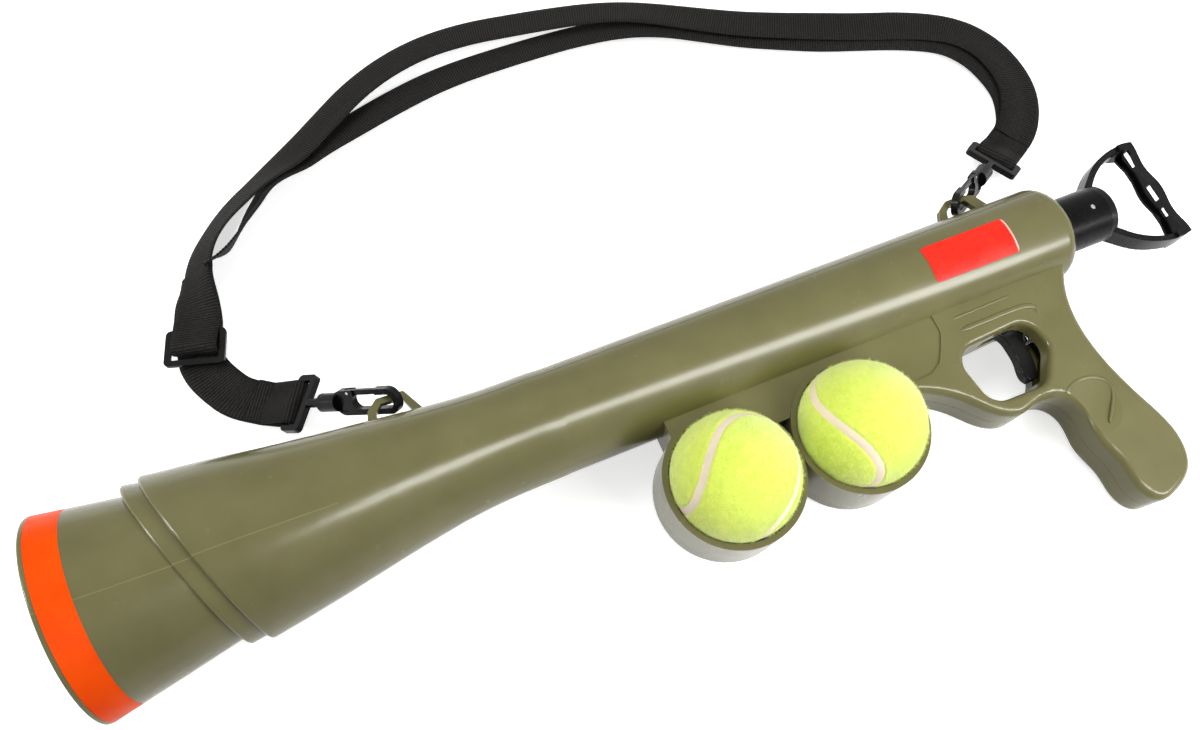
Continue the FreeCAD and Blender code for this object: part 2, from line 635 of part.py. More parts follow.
def pull_tube():
    """Black sleeve: the piston at its front, the handle at its end, a catch slot for the sear."""
    start = "sizes.piston_front + sizes.piston_length - 13.6"
    length = "sizes.pull_end - sizes.piston_front - sizes.piston_length + 13.6"
    sleeve = ring("sleeve", "sizes.pull_radius", "sizes.pull_radius - sizes.pull_wall", length, start)
    holes = [
        box("catch_slot", CATCH_LENGTH, 10, 7.2, "%s - sizes.stroke - %s" % (SEAR_TIP[0], CATCH_GAP),
            "-sizes.pull_radius - 5", -3.6),
        box("key_slot", 600, "sizes.key + 0.3", 10, "sizes.rear_bush_front - sizes.stroke - 8",
            "-sizes.key / 2 - 0.15", "sizes.key_depth + 0.15 - sizes.pull_radius - 10"),
        cylinder("sleeve_piston_pin", "sizes.pin_radius + 0.05", 60,
                 "sizes.piston_front + sizes.piston_length - 7", 0, -30, Rotation()),
        cylinder("sleeve_handle_pin", "sizes.pin_radius + 0.05", 60, "sizes.pull_end - 9", 0, -30, Rotation())]
    piece("pull_tube", cut("sleeve_cut", sleeve, fuse("sleeve_cuts", holes)))


SEAR_TIP = (478, -16.7)


def guide_bushes():
    bore = "sizes.pull_radius + sizes.bush_gap"
    outer = "sizes.tube_radius - sizes.shell_wall - sizes.fit"
    piece("spring_bush", ring("spring_bush", outer, bore, "sizes.bush_length", "sizes.cylinder_rear + 0.1"))
    length = "sizes.tube_rear - sizes.shell_wall - 0.1 - sizes.rear_bush_front"
    bush = ring("rear_bush_ring", outer, bore, length, "sizes.rear_bush_front")
    key = box("rear_key", length, "sizes.key", 2, "sizes.rear_bush_front", "-sizes.key / 2",
              "sizes.key_depth - sizes.pull_radius - 2")
    piece("rear_bush", fuse("rear_bush_keyed", [bush, key]))


def arc_edge(start, tangent, end):
    """The arc that leaves a point along a tangent and reaches another point."""
    chord = end - start
    along = Vector(chord).normalize()
    side = (tangent - along * tangent.dot(along)).normalize()
    rise = chord.Length / 2 * math.tan(tangent.getAngle(chord) / 2)
    return Part.Arc(start, (start + end) * 0.5 + side * rise, end).toShape()


def biarc(start, tangent, end, last):
    """Two arcs that join smoothly, from one point and tangent to the next."""
    span = end - start
    both = tangent + last
    square = 2 * (1 - tangent.dot(last))
    cross = 2 * span.dot(both)
    reach = (math.sqrt(cross * cross + 4 * square * span.dot(span)) - cross) / (2 * square)
    joint = (start + tangent * reach + end - last * reach) * 0.5
    return [arc_edge(start, tangent, joint), arc_edge(end, last * -1, joint)]


def coil(radius, wire, length, turns):
    """A coil spring along X from the origin, swept in half turns."""
    rise = length / (2 * math.pi * turns)

    def at(angle):
        return Vector(rise * angle, radius * math.cos(angle), radius * math.sin(angle))

    def heading(angle):
        return Vector(rise, -radius * math.sin(angle), radius * math.cos(angle)).normalize()

    edges = []
    for number in range(int(2 * turns)):
        first = math.pi * number
        last = math.pi * (number + 1)
        edges += biarc(at(first), heading(first), at(last), heading(last))
    section = Part.Wire(Part.makeCircle(wire / 2, at(0), heading(0)))
    sweep = Part.BRepOffsetAPI.MakePipeShell(Part.Wire(Part.__sortEdges__(edges)))
    sweep.add(section)
    sweep.build()
    sweep.makeSolid()
    return sweep.shape()


def spring(node, radius, wire, turns, start, end, turn):
    """A coil that lies half a wire and a small gap clear of its two seats."""
    clear = wire / 2 + 0.3
    run = end - start
    body = coil(radius, wire, run.Length - 2 * clear, turns)
    item = solid(node, body)
    item.Placement = Placement(start + Vector(run).normalize() * clear, turn)
    return piece(node, item)


# Trigger and sear

# Outlines round each pivot: the blade's finger curve and its back, then the sear
BLADE_FRONT = [(-17, -9.3), (-9.5, -10.6), (-6, -15), (-5.2, -21), (-5.5, -29), (-7, -38), (-5.2, -41.3)]
BLADE_BACK = [(-0.4, -41.3), (1.6, -36), (3.4, -26), (6, -14), (12, -7.8)]
BLADE_TOP = [(12, -4.8), (20, -0.3), (20, 2.7), (2, 2.9), (-7, 0.2), (-17, -3.8)]
SEAR = [(-14, 7.9), (-15, 7.4), (-15, 3.1), (-3, -2.4), (0, -3), (11, -5.3), (14, -5.3), (14, -2.6), (2, 2.8),
        (-10.5, 7.9)]


def lever(node, outline, hub, pivot_x, pivot_y, half, easing_below):
    """A flat lever with a round hub on its pivot pin, its lower long edges eased."""
    body = extrusion(outline, -half, half)
    edges = [edge for edge in body.Edges
             if abs(abs(edge.CenterOfMass.z) - half) < 0.01 and edge.CenterOfMass.y < easing_below]
    if edges:
        body = body.makeFillet(0.8, edges)
    body = body.fuse(Part.makeCylinder(hub, 2 * half, Vector(0, 0, -half)))
    body = body.cut(Part.makeCylinder(size("pin_radius") + 0.05, 60, Vector(0, 0, -30)))
    item = solid(node, body)
    item.Placement = Placement(Vector(pivot_x, pivot_y, 0), Rotation())
    return piece(node, item)


def trigger_group():
    pivot = Vector(size("trigger_x"), -size("trigger_y"), 0)
    outline = Part.Wire([curve(BLADE_FRONT), straight(BLADE_FRONT[-1], BLADE_BACK[0]), curve(BLADE_BACK),
                         straight(BLADE_BACK[-1], BLADE_TOP[0])]
                        + [straight(first, last) for first, last in zip(BLADE_TOP, BLADE_TOP[1:])]
                        + [straight(BLADE_TOP[-1], BLADE_FRONT[0])])
    lever("trigger", outline, 3.2, pivot.x, pivot.y, size("trigger_half"), -20)
    sear_x, sear_y = size("sear_x"), -size("sear_y")
    lever("sear", polygon(SEAR), 3, sear_x, sear_y, size("sear_half"), -SPAN)
    for name, x, y in (("trigger_pin", "sizes.trigger_x", "-sizes.trigger_y"),
                       ("sear_pin", "sizes.sear_x", "-sizes.sear_y")):
        piece(name, cylinder(name, "sizes.pin_radius", "2 * sizes.pin_half", x, y, "-sizes.pin_half", Rotation()))
    drop = pivot.y - SPRING_DROP
    spring("trigger_spring", 3, 0.6, 6, Vector(pivot.x + SPRING_START, drop, 0),
           Vector(pivot.x + SPRING_SEAT, drop, 0), Rotation())
    half = size("sear_half")
    spring("sear_spring", 2.6, 0.6, 3, Vector(sear_x, sear_y, half),
           Vector(sear_x, sear_y, half + PIN_SIDE["sear"]), Rotation(Vector(0, 1, 0), -90))


# Pull handle

# One arm of the D, outside then inside, from the hub: shares of the handle's length and of its half height
ARM_OUT = [(0.022, 0.445), (0.173, 0.629), (0.346, 0.807), (0.606, 0.951), (0.844, 1), (1, 0.969)]
ARM_IN = [(0.022, 0.322), (0.108, 0.387), (0.238, 0.552), (0.411, 0.727), (0.628, 0.853), (0.801, 0.896)]
# Slots in the grip bar, in shares of the half height
GRIP_SLOTS = [(0.564, 0.88), (-0.184, 0.129), (-0.521, -0.347)]
ARM_HALF = 5.5
WAVE_LENGTH = 30
BAR_HALF = 6.3
BAR_WAVE = 1.1


def wave(y):
    """Half width of the wavy grip bar."""
    return BAR_HALF + BAR_WAVE * math.cos(2 * math.pi * y / WAVE_LENGTH)


def wavy_block(inset, reach, front, rear):
    """The grip bar's wavy outline, set in, carried along X."""
    places = [-reach + 2 * reach * step / 16 for step in range(17)]
    sides = []
    for side in (1, -1):
        spline = Part.BSplineCurve()
        spline.interpolate([Vector(front, y, side * (wave(y) - inset)) for y in places])
        sides.append(spline.toShape())
    ends = [Part.makeLine(Vector(front, y, wave(y) - inset), Vector(front, y, inset - wave(y)))
            for y in (places[-1], places[0])]
    outline = Part.Wire(Part.__sortEdges__(sides + ends))
    return Part.Face(outline).extrude(Vector(rear - front, 0, 0))


def d_slab(shares, bar_x, half):
    """The D's outline filled, from its arm curve, mirrored, and the straight bar."""
    arm = [(size("pull_end") + x * size("handle_length"), y * size("handle_half")) for x, y in shares]
    mirrored = [(x, -y) for x, y in reversed(arm)]
    edges = [curve(arm)]
    if arm[-1][0] < bar_x - 1e-6:
        edges.append(straight(arm[-1], (bar_x, arm[-1][1] - 1.5)))
        edges.append(straight((bar_x, arm[-1][1] - 1.5), (bar_x, 1.5 - arm[-1][1])))
        edges.append(straight((bar_x, 1.5 - arm[-1][1]), mirrored[0]))
    else:
        edges.append(straight(arm[-1], mirrored[0]))
    edges.append(curve(mirrored))
    edges.append(straight(mirrored[-1], arm[0]))
    return extrusion(Part.Wire(edges), -half, half)


def pull_handle():
    """D handle: two flat arms, a wavy grip bar with a pocket and slots, and a spigot in the pull tube."""
    rear = size("pull_end")
    back = rear + size("handle_length")
    front = back - size("grip_bar")
    half = size("handle_half")
    frame = d_slab(ARM_OUT, back, BAR_HALF + 6).cut(d_slab(ARM_IN, front, BAR_HALF + 8))
    arms = frame.common(Part.makeBox(back - rear, 3 * half, 2 * ARM_HALF, Vector(rear - 2, -1.5 * half, -ARM_HALF)))
    bar = frame.common(wavy_block(0, half + 2, front - 5, back + 2))
    pocket = wavy_block(1.5, half - 3.6, front - 1, front + size("grip_pocket"))
    slots = [Part.makeBox(20, (last - first) * half, 5, Vector(front - 8, first * half, -2.5))
             for first, last in GRIP_SLOTS]
    radius = size("pull_radius")
    hub = Part.makeCylinder(radius, 4, Vector(rear + 0.1, 0, 0), Vector(1, 0, 0))
    spigot = Part.makeCylinder(radius - size("pull_wall") - size("fit"), 16.5, Vector(rear - 16, 0, 0),
                               Vector(1, 0, 0))
    body = arms.fuse([bar, hub, spigot]).cut([pocket] + slots)
    drill = Part.makeCylinder(size("pin_radius") + 0.05, 60, Vector(rear - 9, 0, -30))
    piece("pull_handle", solid("pull_handle", body.cut(drill)))
    piece("handle_pin", cylinder("handle_pin", "sizes.pin_radius", "2 * sizes.pull_radius - 1",
                                 "sizes.pull_end - 9", 0, "0.5 - sizes.pull_radius", Rotation()))


# Screws, label and balls

def shell_screws():
    """The seven screws of the two halves, driven from the right side."""
    bodies = []
    for place_x, y, seat in SCREWS:
        x = value(place_x)
        head = Part.makeCylinder(size("screw_head"), size("screw_head_deep"),
                                 Vector(x, y, -seat - size("screw_head_deep")))
        cross = [Part.makeBox(3.6, 0.8, 1.4, Vector(x - 1.8, y - 0.4, -seat - 2.2)),
                 Part.makeBox(0.8, 3.6, 1.4, Vector(x - 0.4, y - 1.8, -seat - 2.2))]
        shank = Part.makeCylinder(size("screw_shank"), seat + SCREW_REACH, Vector(x, y, -seat))
        bodies.append(head.fuse(shank).cut(cross))
    piece("shell_screws", solid("shell_screws", Part.makeCompound(bodies)))


LABEL_ROUND = 2.2


def label_patch():
    """Blank patch on the left side of the tube, with rounded corners."""
    start = size("label_start")
    end = start + size("label_length")
    low = -size("label_width") / 2 - 1
    high = low + size("label_width")
    shell = ring("patch_shell", "sizes.tube_radius + sizes.label_thick", "sizes.tube_radius",
                 "sizes.label_length", "sizes.label_start")
    outline = polygon([(start, low), (end, low), (end, high), (start, high)])
    window = solid("patch_window", rounded(extrusion(outline, 0, 60), LABEL_ROUND))
    piece("label_patch", common("patch", [shell, window]))


def tennis_balls():
    """Two hollow rubber cores, each inside a felt skin, resting in the side cups."""
    radius = size("ball_diameter") / 2
    rest = math.sqrt(radius ** 2 - size("cup_hole") ** 2) + size("cup_floor") - size("cup_back") + 0.2
    for number, x in CUPS.items():
        felt = "sizes.ball_diameter / 2 - sizes.felt"
        piece("ball_%d_core" % number,
              cut("core_%d" % number, ball("core_%d_outside" % number, felt, x, "-sizes.cup_low", rest),
                  ball("core_%d_inside" % number, "%s - 3.4" % felt, x, "-sizes.cup_low", rest)))
        piece("ball_%d_felt" % number,
              cut("felt_%d" % number, ball("felt_%d_outside" % number, "sizes.ball_diameter / 2", x,
                                           "-sizes.cup_low", rest),
                  ball("felt_%d_inside" % number, felt, x, "-sizes.cup_low", rest)))


# Snap hooks: each is built along X from its nose, its slot in the X-Y plane

# Centre of each lug's bar and the direction from there to the swivel ring
# and how far along and across the hook that centre lies
FRONT_HANG = ((160, 41.8, 0), (-45.3, 29.6, -38), (10.2, -0.3))
REAR_HANG = ((504, 36.7, 0), (56.3, 27.9, -24), (11.7, 0.2))
NOSE_REACH = 14
BARREL = (42, 54)
RING_WINDOW = (26, 6)


def hook_body():
    half = size("hook_half")
    bar = size("hook_bar")
    slot = size("hook_slot") / 2
    side = slot + bar
    base = size("hook_reach")
    plate = rounded(extrusion(polygon([(0, -side), (BARREL[0] + 2, -side), (BARREL[0] + 2, side), (0, side)]),
                              -half, half), side - 0.5)
    opening = rounded(extrusion(polygon([(bar, -slot), (base, -slot), (base, slot), (bar, slot)]), -20, 20),
                      slot - 0.2)
    mouth = Part.makeBox(base - 2 - NOSE_REACH, 2 * bar, 40, Vector(NOSE_REACH, slot - 0.1, -20))
    root = Part.makeBox(GATE_SWING + 3.5, 2 * bar, 2 * half - 2 * EAR,
                        Vector(base - GATE_SWING, slot - 0.8, EAR - half))
    dimples = [Part.makeBox(5, 2 * side - 4, 2, Vector(base + 5, 2 - side, z)) for z in (half - 0.7, -half - 1.3)]
    barrel = Part.makeCylinder(5, BARREL[1] - BARREL[0], Vector(BARREL[0], 0, 0), Vector(1, 0, 0))
    room = Part.makeCylinder(3.9, 4.4, Vector(BARREL[0] + 3, 0, 0), Vector(1, 0, 0))
    bore = Part.makeCylinder(2.58, 30, Vector(BARREL[0] + 3, 0, 0), Vector(1, 0, 0))
    drill = Part.makeCylinder(GATE_PIN + 0.05, 40, Vector(*gate_pivot()) - Vector(0, 0, 20))
    return plate.fuse(barrel).cut([opening, mouth, root, drill, room, bore] + dimples)


EAR = 0.8
GATE_PIN = 0.8
# Length of the cut that gives the gate room to swing in, ahead of the hook's base
GATE_SWING = 6


def gate_pivot():
    return size("hook_reach") + 1.6, size("hook_slot") / 2 + size("hook_bar") / 2, 0


def hook_gate():
    """Springy gate that closes the hook's mouth, hinged beside the base."""
    half = size("hook_half")
    bar = size("hook_bar")
    slot = size("hook_slot") / 2
    base = size("hook_reach")
    start = NOSE_REACH + 0.35
    thick = 2 * (half - EAR) - 0.4
    blade = Part.makeBox(base + 3.1 - start, bar - 0.4, thick, Vector(start, slot + 0.1, -thick / 2))
    return blade.cut(Part.makeCylinder(GATE_PIN + 0.05, 40, Vector(*gate_pivot()) - Vector(0, 0, 20)))


def gate_pin():
    half = size("hook_half")
    return Part.makeCylinder(GATE_PIN, 2 * half, Vector(*gate_pivot()) - Vector(0, 0, half))


def swivel_ring():
    """Ring for the webbing, on a headed stem that turns in the hook's barrel."""
    window_wide, window_long = RING_WINDOW
    bar = size("loop_bar")
    middle = size("hook_length")
    wide = window_wide / 2 + bar
    long_half = window_long / 2 + bar
    plate = rounded(extrusion(polygon([(middle - long_half, -wide), (middle + long_half, -wide),
                                       (middle + long_half, wide), (middle - long_half, wide)]),
                              -bar / 2, bar / 2), 2.6)
    window = Part.makeBox(window_long, window_wide, 40, Vector(middle - window_long / 2, -window_wide / 2, -20))
    stem = Part.makeCylinder(2.5, middle - long_half + 0.5 - BARREL[0] - 4, Vector(BARREL[0] + 4, 0, 0),
                             Vector(1, 0, 0))
    head = Part.makeCylinder(3.6, 3, Vector(BARREL[0] + 3.7, 0, 0), Vector(1, 0, 0))
    return plate.fuse([stem, head]).cut(window)


def hang_frame(hang, roll=None):
    """Placement that carries a hook's own frame to its lug; its Z lies as near the barrel as it can."""
    spot, run = Vector(*hang[0]), Vector(*hang[1]).normalize()
    guide = Vector(1, 0, 0) if roll is None else roll
    if roll is None:
        third = (guide - run * guide.dot(run)).normalize()
        second = third.cross(run)
    else:
        second = guide.cross(run).normalize()
        third = run.cross(second)
    turn = Rotation(run, second, third, "XYZ")
    along, across = hang[2]
    if roll is None:
        return Placement(spot - run * along - second * across, turn)
    return Placement(spot - run * along - hang_frame(hang).Rotation.multVec(Vector(0, across, 0)), turn)


def hooks(floor_normal):
    for name, hang in (("front", FRONT_HANG), ("rear", REAR_HANG)):
        frame = hang_frame(hang)
        for node, shape, home in (("%s_hook_body" % name, hook_body(), frame),
                                  ("%s_hook_gate" % name, hook_gate(), frame),
                                  ("%s_gate_pin" % name, gate_pin(), frame),
                                  ("%s_swivel_ring" % name, swivel_ring(), hang_frame(hang, floor_normal))):
            item = solid(node, shape)
            item.Placement = home
            piece(node, item)


def build_launcher():
    barrel_shells()
    muzzle_cone()
    collar_ring()
    launching_cup()
    ball_cushion()
    air_cylinder()
    piston()
    pull_tube()
    guide_bushes()
    spring("main_spring", size("spring_radius"), size("spring_wire"), size("spring_turns"),
           Vector(size("piston_front") + size("piston_length"), 0, 0), Vector(size("cylinder_rear"), 0, 0), Rotation())
    trigger_group()
    pull_handle()
    shell_screws()
    label_patch()
    tennis_balls()


# Resting place: the launcher lies on its right side, on the muzzle's rim, the tube's end and the butt

BUTT_BELOW = -130


def resting_placement():
    """Placement that lays the launcher on the floor, found from the three places that touch it."""
    muzzle = launcher_parts["muzzle_cone"].Shape.tessellate(0.2)[0]
    shell = launcher_parts["right_body_shell"].Shape.tessellate(0.2)[0]
    clouds = [[point for point in muzzle if point.x < size("cone_end") / 4],
              [point for point in shell if point.x > size("tube_rear") - 30 and point.y > -size("tube_radius")],
              [point for point in shell if point.y < BUTT_BELOW]]
    up = Vector(0, 0, 1)
    for turn in range(6):
        lowest = [min(cloud, key=up.dot) for cloud in clouds]
        up = (lowest[1] - lowest[0]).cross(lowest[0] - lowest[2]).normalize()
        if up.z < 0:
            up = up * -1
    along = (Vector(1, 0, 0) - up * up.x).normalize()
    turn = Rotation(along, up.cross(along), up, "XYZ").inverted()
    return Placement(turn.multVec(lowest[0]) * -1, turn)


# Sling strap: one length of flat webbing, drawn on the floor in the frame of the floor

# Route of the run that goes through the slider, then of the run that lies outside and over it
LOWER_ROUTE = [(599, 101), (604, 115), (604, 132), (600, 152), (588, 171), (563, 185), (537, 195), (512, 204),
               (489, 215), (465, 227), (442, 240), (418, 253), (391, 262), (362, 266), (332, 267.5), (290, 268),
               (261, 266), (232, 260), (203, 252), (172, 243), (148, 230), (128, 211), (111, 188)]
SHORT_ROUTE = [(77.4, 124), (83.7, 110.6)]
UPPER_ROUTE = [(602, 100), (610, 115), (613, 134), (610, 156), (598, 175), (573, 190), (543, 201), (517, 212),
               (492, 222.5), (467, 234), (444, 247), (421, 261), (400, 272), (377, 280), (350, 286), (322, 291),
               (296, 295), (267, 295), (240, 289), (213, 277), (190, 261), (166, 244), (144, 230), (122, 214),
               (104, 197)]
SLIDER_SPOT = Vector(77, 137, 0)
SLIDER_RUN = Vector(0.3, 0.95, 0).normalize()
SLIDER_FRAME = (33, 22)
SLIDER_SLOT = (26, 5.5)
SLIDER_THICK = 2
SLIDER_BAR = 4
LOOP_ROOM = 2.9
LOOP_TAIL = 26
SLIDER_TAIL = 45
LEAD = 8
SEWN_GAP = 0.1


def ribbon(points, low):
    """Flat webbing along a smooth route on the floor."""
    route = Part.BSplineCurve()
    route.interpolate([Vector(x, y, 0) for x, y in points])
    half = size("web_width") / 2
    steps = 4 * len(points)
    sides = ([], [])
    ends = {0: Vector(*points[1], 0) - Vector(*points[0], 0), steps: Vector(*points[-1], 0) - Vector(*points[-2], 0)}
    for step in range(steps + 1):
        at = route.FirstParameter + (route.LastParameter - route.FirstParameter) * step / steps
        spot, heading = route.value(at), route.tangent(at)[0]
        if step in ends:
            heading = ends[step].normalize()
        across = Vector(-heading.y, heading.x, 0) * half
        sides[0].append((spot.x + across.x, spot.y + across.y))
        sides[1].append((spot.x - across.x, spot.y - across.y))
    outline = Part.Wire([curve(sides[0]), straight(sides[0][-1], sides[1][-1]), curve(sides[1][::-1]),
                         straight(sides[1][0], sides[0][0])])
    bends = [route.curvature(route.FirstParameter + (route.LastParameter - route.FirstParameter) * step / 200)
             for step in range(201)]
    print("webbing run", round(route.length()), "mm, tightest bend", round(1 / max(bends), 1), "mm")
    return extrusion(outline, low, low + size("web_thick"))


def tangent_spots(middle, radius, point):
    """Where the two tangents from a point touch a circle, the lower first."""
    run = middle - point
    reach = math.sqrt(run.Length ** 2 - radius ** 2)
    turn = math.degrees(math.asin(radius / run.Length))
    spots = [point + Rotation(Vector(0, 0, 1), side * turn).multVec(run).normalize() * reach for side in (1, -1)]
    return sorted(spots, key=lambda spot: spot.y)


def loop_profile(height, radius, tail, low, high, end):
    """A drop shape round a bar, seen from the side: X away from the bar, Y up."""
    middle = Vector(0, height, 0)
    under = tangent_spots(middle, radius, Vector(tail, low, 0))[0]
    over = tangent_spots(middle, radius, Vector(tail, high, 0))[1]
    edges = [Part.Arc(under, Vector(-radius, height, 0), over).toShape(), Part.makeLine(over, Vector(tail, high, 0))]
    corners = [Vector(tail, high, 0), Vector(end, high, 0), Vector(end, low, 0), Vector(tail, low, 0)]
    for first, last in zip(corners, corners[1:]):
        if (last - first).Length > 1e-6:
            edges.append(Part.makeLine(first, last))
    edges.append(Part.makeLine(Vector(tail, low, 0), under))
    return Part.Face(Part.Wire(edges))


def web_loop(spot, height, run, low, reach=LOOP_TAIL):
    """Webbing folded round a bar at a spot, its two layers lying together on the floor along a run."""
    thick = size("web_thick")
    tail = reach - 9
    outer = loop_profile(height, LOOP_ROOM + thick, tail, low, low + 2 * thick, reach)
    inner = loop_profile(height, LOOP_ROOM, tail, low + thick, low + thick + 0.001, tail + 0.001)
    half = size("web_width") / 2
    body = outer.cut(inner).extrude(Vector(0, 0, 2 * half)).translated(Vector(0, 0, -half))
    turn = Rotation(run, Vector(0, 0, 1), run.cross(Vector(0, 0, 1)), "XYZ")
    body.Placement = Placement(Vector(spot.x, spot.y, 0), turn).multiply(body.Placement)
    return body


def ring_bar(name, lie):
    """The bar of a swivel ring that the webbing goes round, and the way the webbing leaves it, on the floor."""
    frame = lie.multiply(launcher_parts["%s_swivel_ring" % name].Placement)
    reach = size("hook_length") + RING_WINDOW[1] / 2 + size("loop_bar") / 2
    spot = frame.multVec(Vector(reach, 0, 0))
    run = frame.Rotation.multVec(Vector(1, 0, 0))
    return spot, Vector(run.x, run.y, 0).normalize()


def strap(lie):
    thick = size("web_thick")
    front, front_run = ring_bar("front", lie)
    rear, rear_run = ring_bar("rear", lie)
    tail = LOOP_TAIL + SEWN_GAP
    front_end = [(spot.x, spot.y) for spot in (front + front_run * (tail + LEAD), front + front_run * tail)]
    rear_end = [(spot.x, spot.y) for spot in (rear + rear_run * tail, rear + rear_run * (tail + LEAD))]
    slider_end = [SLIDER_SPOT + SLIDER_RUN * (SLIDER_TAIL + SEWN_GAP + LEAD),
                  SLIDER_SPOT + SLIDER_RUN * (SLIDER_TAIL + SEWN_GAP)]
    slider_end = [(spot.x, spot.y) for spot in slider_end]
    lower = rear_end + LOWER_ROUTE + [slider_end[1], (SLIDER_SPOT.x, SLIDER_SPOT.y)] + SHORT_ROUTE + front_end
    upper = rear_end + UPPER_ROUTE + slider_end
    bar_height = thick + LOOP_ROOM + thick + 0.1
    shapes = {
        "strap_lower_run": ribbon(lower, 0),
        "strap_upper_run": ribbon(upper, thick),
        "strap_rear_loop": web_loop(rear, rear.z, rear_run, 0),
        "strap_front_loop": web_loop(front, front.z, front_run, 0),
        "strap_slider_loop": web_loop(SLIDER_SPOT, bar_height, SLIDER_RUN, thick, SLIDER_TAIL),
    }
    wide, long = SLIDER_FRAME
    plate = rounded(extrusion(polygon([(-long / 2, -wide / 2), (long / 2, -wide / 2), (long / 2, wide / 2),
                                       (-long / 2, wide / 2)]), 0, SLIDER_THICK), 3)
    slots = [Part.makeBox(SLIDER_SLOT[1], SLIDER_SLOT[0], 20, Vector(start, -SLIDER_SLOT[0] / 2, -5))
             for start in (SLIDER_BAR / 2, -SLIDER_BAR / 2 - SLIDER_SLOT[1])]
    across = Vector(-SLIDER_RUN.y, SLIDER_RUN.x, 0)
    shapes["strap_slider"] = plate.cut(slots)
    shapes["strap_slider"].Placement = Placement(SLIDER_SPOT + Vector(0, 0, bar_height - SLIDER_THICK / 2),
                                                 Rotation(SLIDER_RUN, across, Vector(0, 0, 1), "XYZ"))
    for node, shape in shapes.items():
        piece(node, solid(node, shape), floor_parts)


def lay_down():
    """Lay the launcher on the floor, add the strap and put the origin under the middle of the launcher."""
    build_launcher()
    doc.recompute()
    lie = resting_placement()
    hooks(lie.Rotation.inverted().multVec(Vector(0, 0, 1)))
    doc.recompute()
    strap(lie)
    spread = FreeCAD.BoundBox()
    for item in launcher_parts.values():
        shape = item.Shape.copy()
        shape.Placement = lie.multiply(shape.Placement)
        for point in shape.tessellate(0.1)[0]:
            spread.add(point)
    shift = Placement(Vector(-spread.Center.x, -spread.Center.y, -spread.ZMin), Rotation())
    return shift.multiply(lie), shift


def write_parts():
    home, shift = lay_down()
    doc.recompute()
    faults = [item.Name for item in doc.Objects if "Invalid" in item.State or "Error" in item.State]
    if faults:
        raise RuntimeError("failed objects: %s" % faults)
    finished = []
    for group, frame in ((launcher_parts, home), (floor_parts, shift)):
        for node, item in group.items():
            shape = item.Shape.copy()
            shape.Placement = frame.multiply(shape.Placement)
            if shape.isNull() or not shape.isValid() or not shape.Solids:
                raise RuntimeError("%s is not a valid solid" % node)
            finished.append((node, shape))
    os.makedirs("parts", exist_ok=True)
    for node, shape in finished:
        shape.exportStep("parts/%s.step" % node)
    return home


def print_joints(home):
    """Pivot points and axes of the moving pieces in the finished frame, in metres."""
    print("launcher frame", [round(number, 7) for number in home.toMatrix().A])
    spots = {
        "plunger": ((size("pull_end"), 0, 0), (1, 0, 0)),
        "trigger": ((size("trigger_x"), -size("trigger_y"), 0), (0, 0, 1)),
        "sear": ((size("sear_x"), -size("sear_y"), 0), (0, 0, 1)),
        "ball_1": ((size("cup_one"), -size("cup_low"), 0), (0, 0, 1)),
        "ball_2": ((size("cup_one") + size("cup_pitch"), -size("cup_low"), 0), (0, 0, 1)),
    }
    for name in ("front", "rear"):
        frame = launcher_parts["%s_hook_body" % name].Placement
        spots["%s_gate" % name] = (frame.multVec(Vector(*gate_pivot())), frame.Rotation.multVec(Vector(0, 0, 1)))
        spots["%s_swivel" % name] = (frame.multVec(Vector(BARREL[1], 0, 0)), frame.Rotation.multVec(Vector(1, 0, 0)))
    for name, (spot, axis) in spots.items():
        point = home.multVec(Vector(*spot)) * 0.001
        way = home.Rotation.multVec(Vector(*axis))
        print(name, [round(number, 6) for number in point], [round(number, 6) for number in way])


print_joints(write_parts())
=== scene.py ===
import math
import random

import bmesh
import bpy
from mathutils import Matrix, Quaternion, Vector, kdtree, noise


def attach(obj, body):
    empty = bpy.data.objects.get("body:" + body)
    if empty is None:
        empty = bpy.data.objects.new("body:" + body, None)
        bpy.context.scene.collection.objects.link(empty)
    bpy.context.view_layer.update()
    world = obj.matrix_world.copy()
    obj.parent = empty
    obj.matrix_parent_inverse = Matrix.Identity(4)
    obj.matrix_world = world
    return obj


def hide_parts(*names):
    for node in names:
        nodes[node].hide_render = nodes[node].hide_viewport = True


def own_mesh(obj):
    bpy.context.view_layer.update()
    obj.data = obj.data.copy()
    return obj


# Ball launcher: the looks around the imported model. Metres, in the model's own frame.
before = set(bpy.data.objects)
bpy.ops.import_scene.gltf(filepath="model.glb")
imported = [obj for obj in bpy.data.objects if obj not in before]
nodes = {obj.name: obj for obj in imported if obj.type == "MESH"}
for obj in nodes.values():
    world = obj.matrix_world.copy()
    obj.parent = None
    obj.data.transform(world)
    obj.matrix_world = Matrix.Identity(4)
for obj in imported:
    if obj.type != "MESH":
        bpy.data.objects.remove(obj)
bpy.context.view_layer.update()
mm = 0.001
print("frame loaded:", len(nodes), "nodes")

# The launcher's own axes: X back along the barrel, Y to the sling side, Z out of the left side.
launcherFrame = Matrix(((0.9995071, 0.0029350, 0.0312564, -0.3055307),
                        (0.0, 0.9956202, -0.0934905, 0.0342316),
                        (-0.0313939, 0.0934444, 0.9951294, 0.0441926),
                        (0.0, 0.0, 0.0, 1.0)))
# The strap was drawn on the floor; this carries that drawing to the model's frame.
floorShift = Vector((-0.30940, 0.02820, 0.0))


def fromLauncher(x, y, z):
    return launcherFrame @ Vector((x * mm, y * mm, z * mm))


def turnFromLauncher(x, y, z):
    return (launcherFrame.to_3x3() @ Vector((x, y, z))).normalized()


def fromFloor(x, y, z):
    return Vector((x * mm, y * mm, z * mm)) + floorShift


# Camera

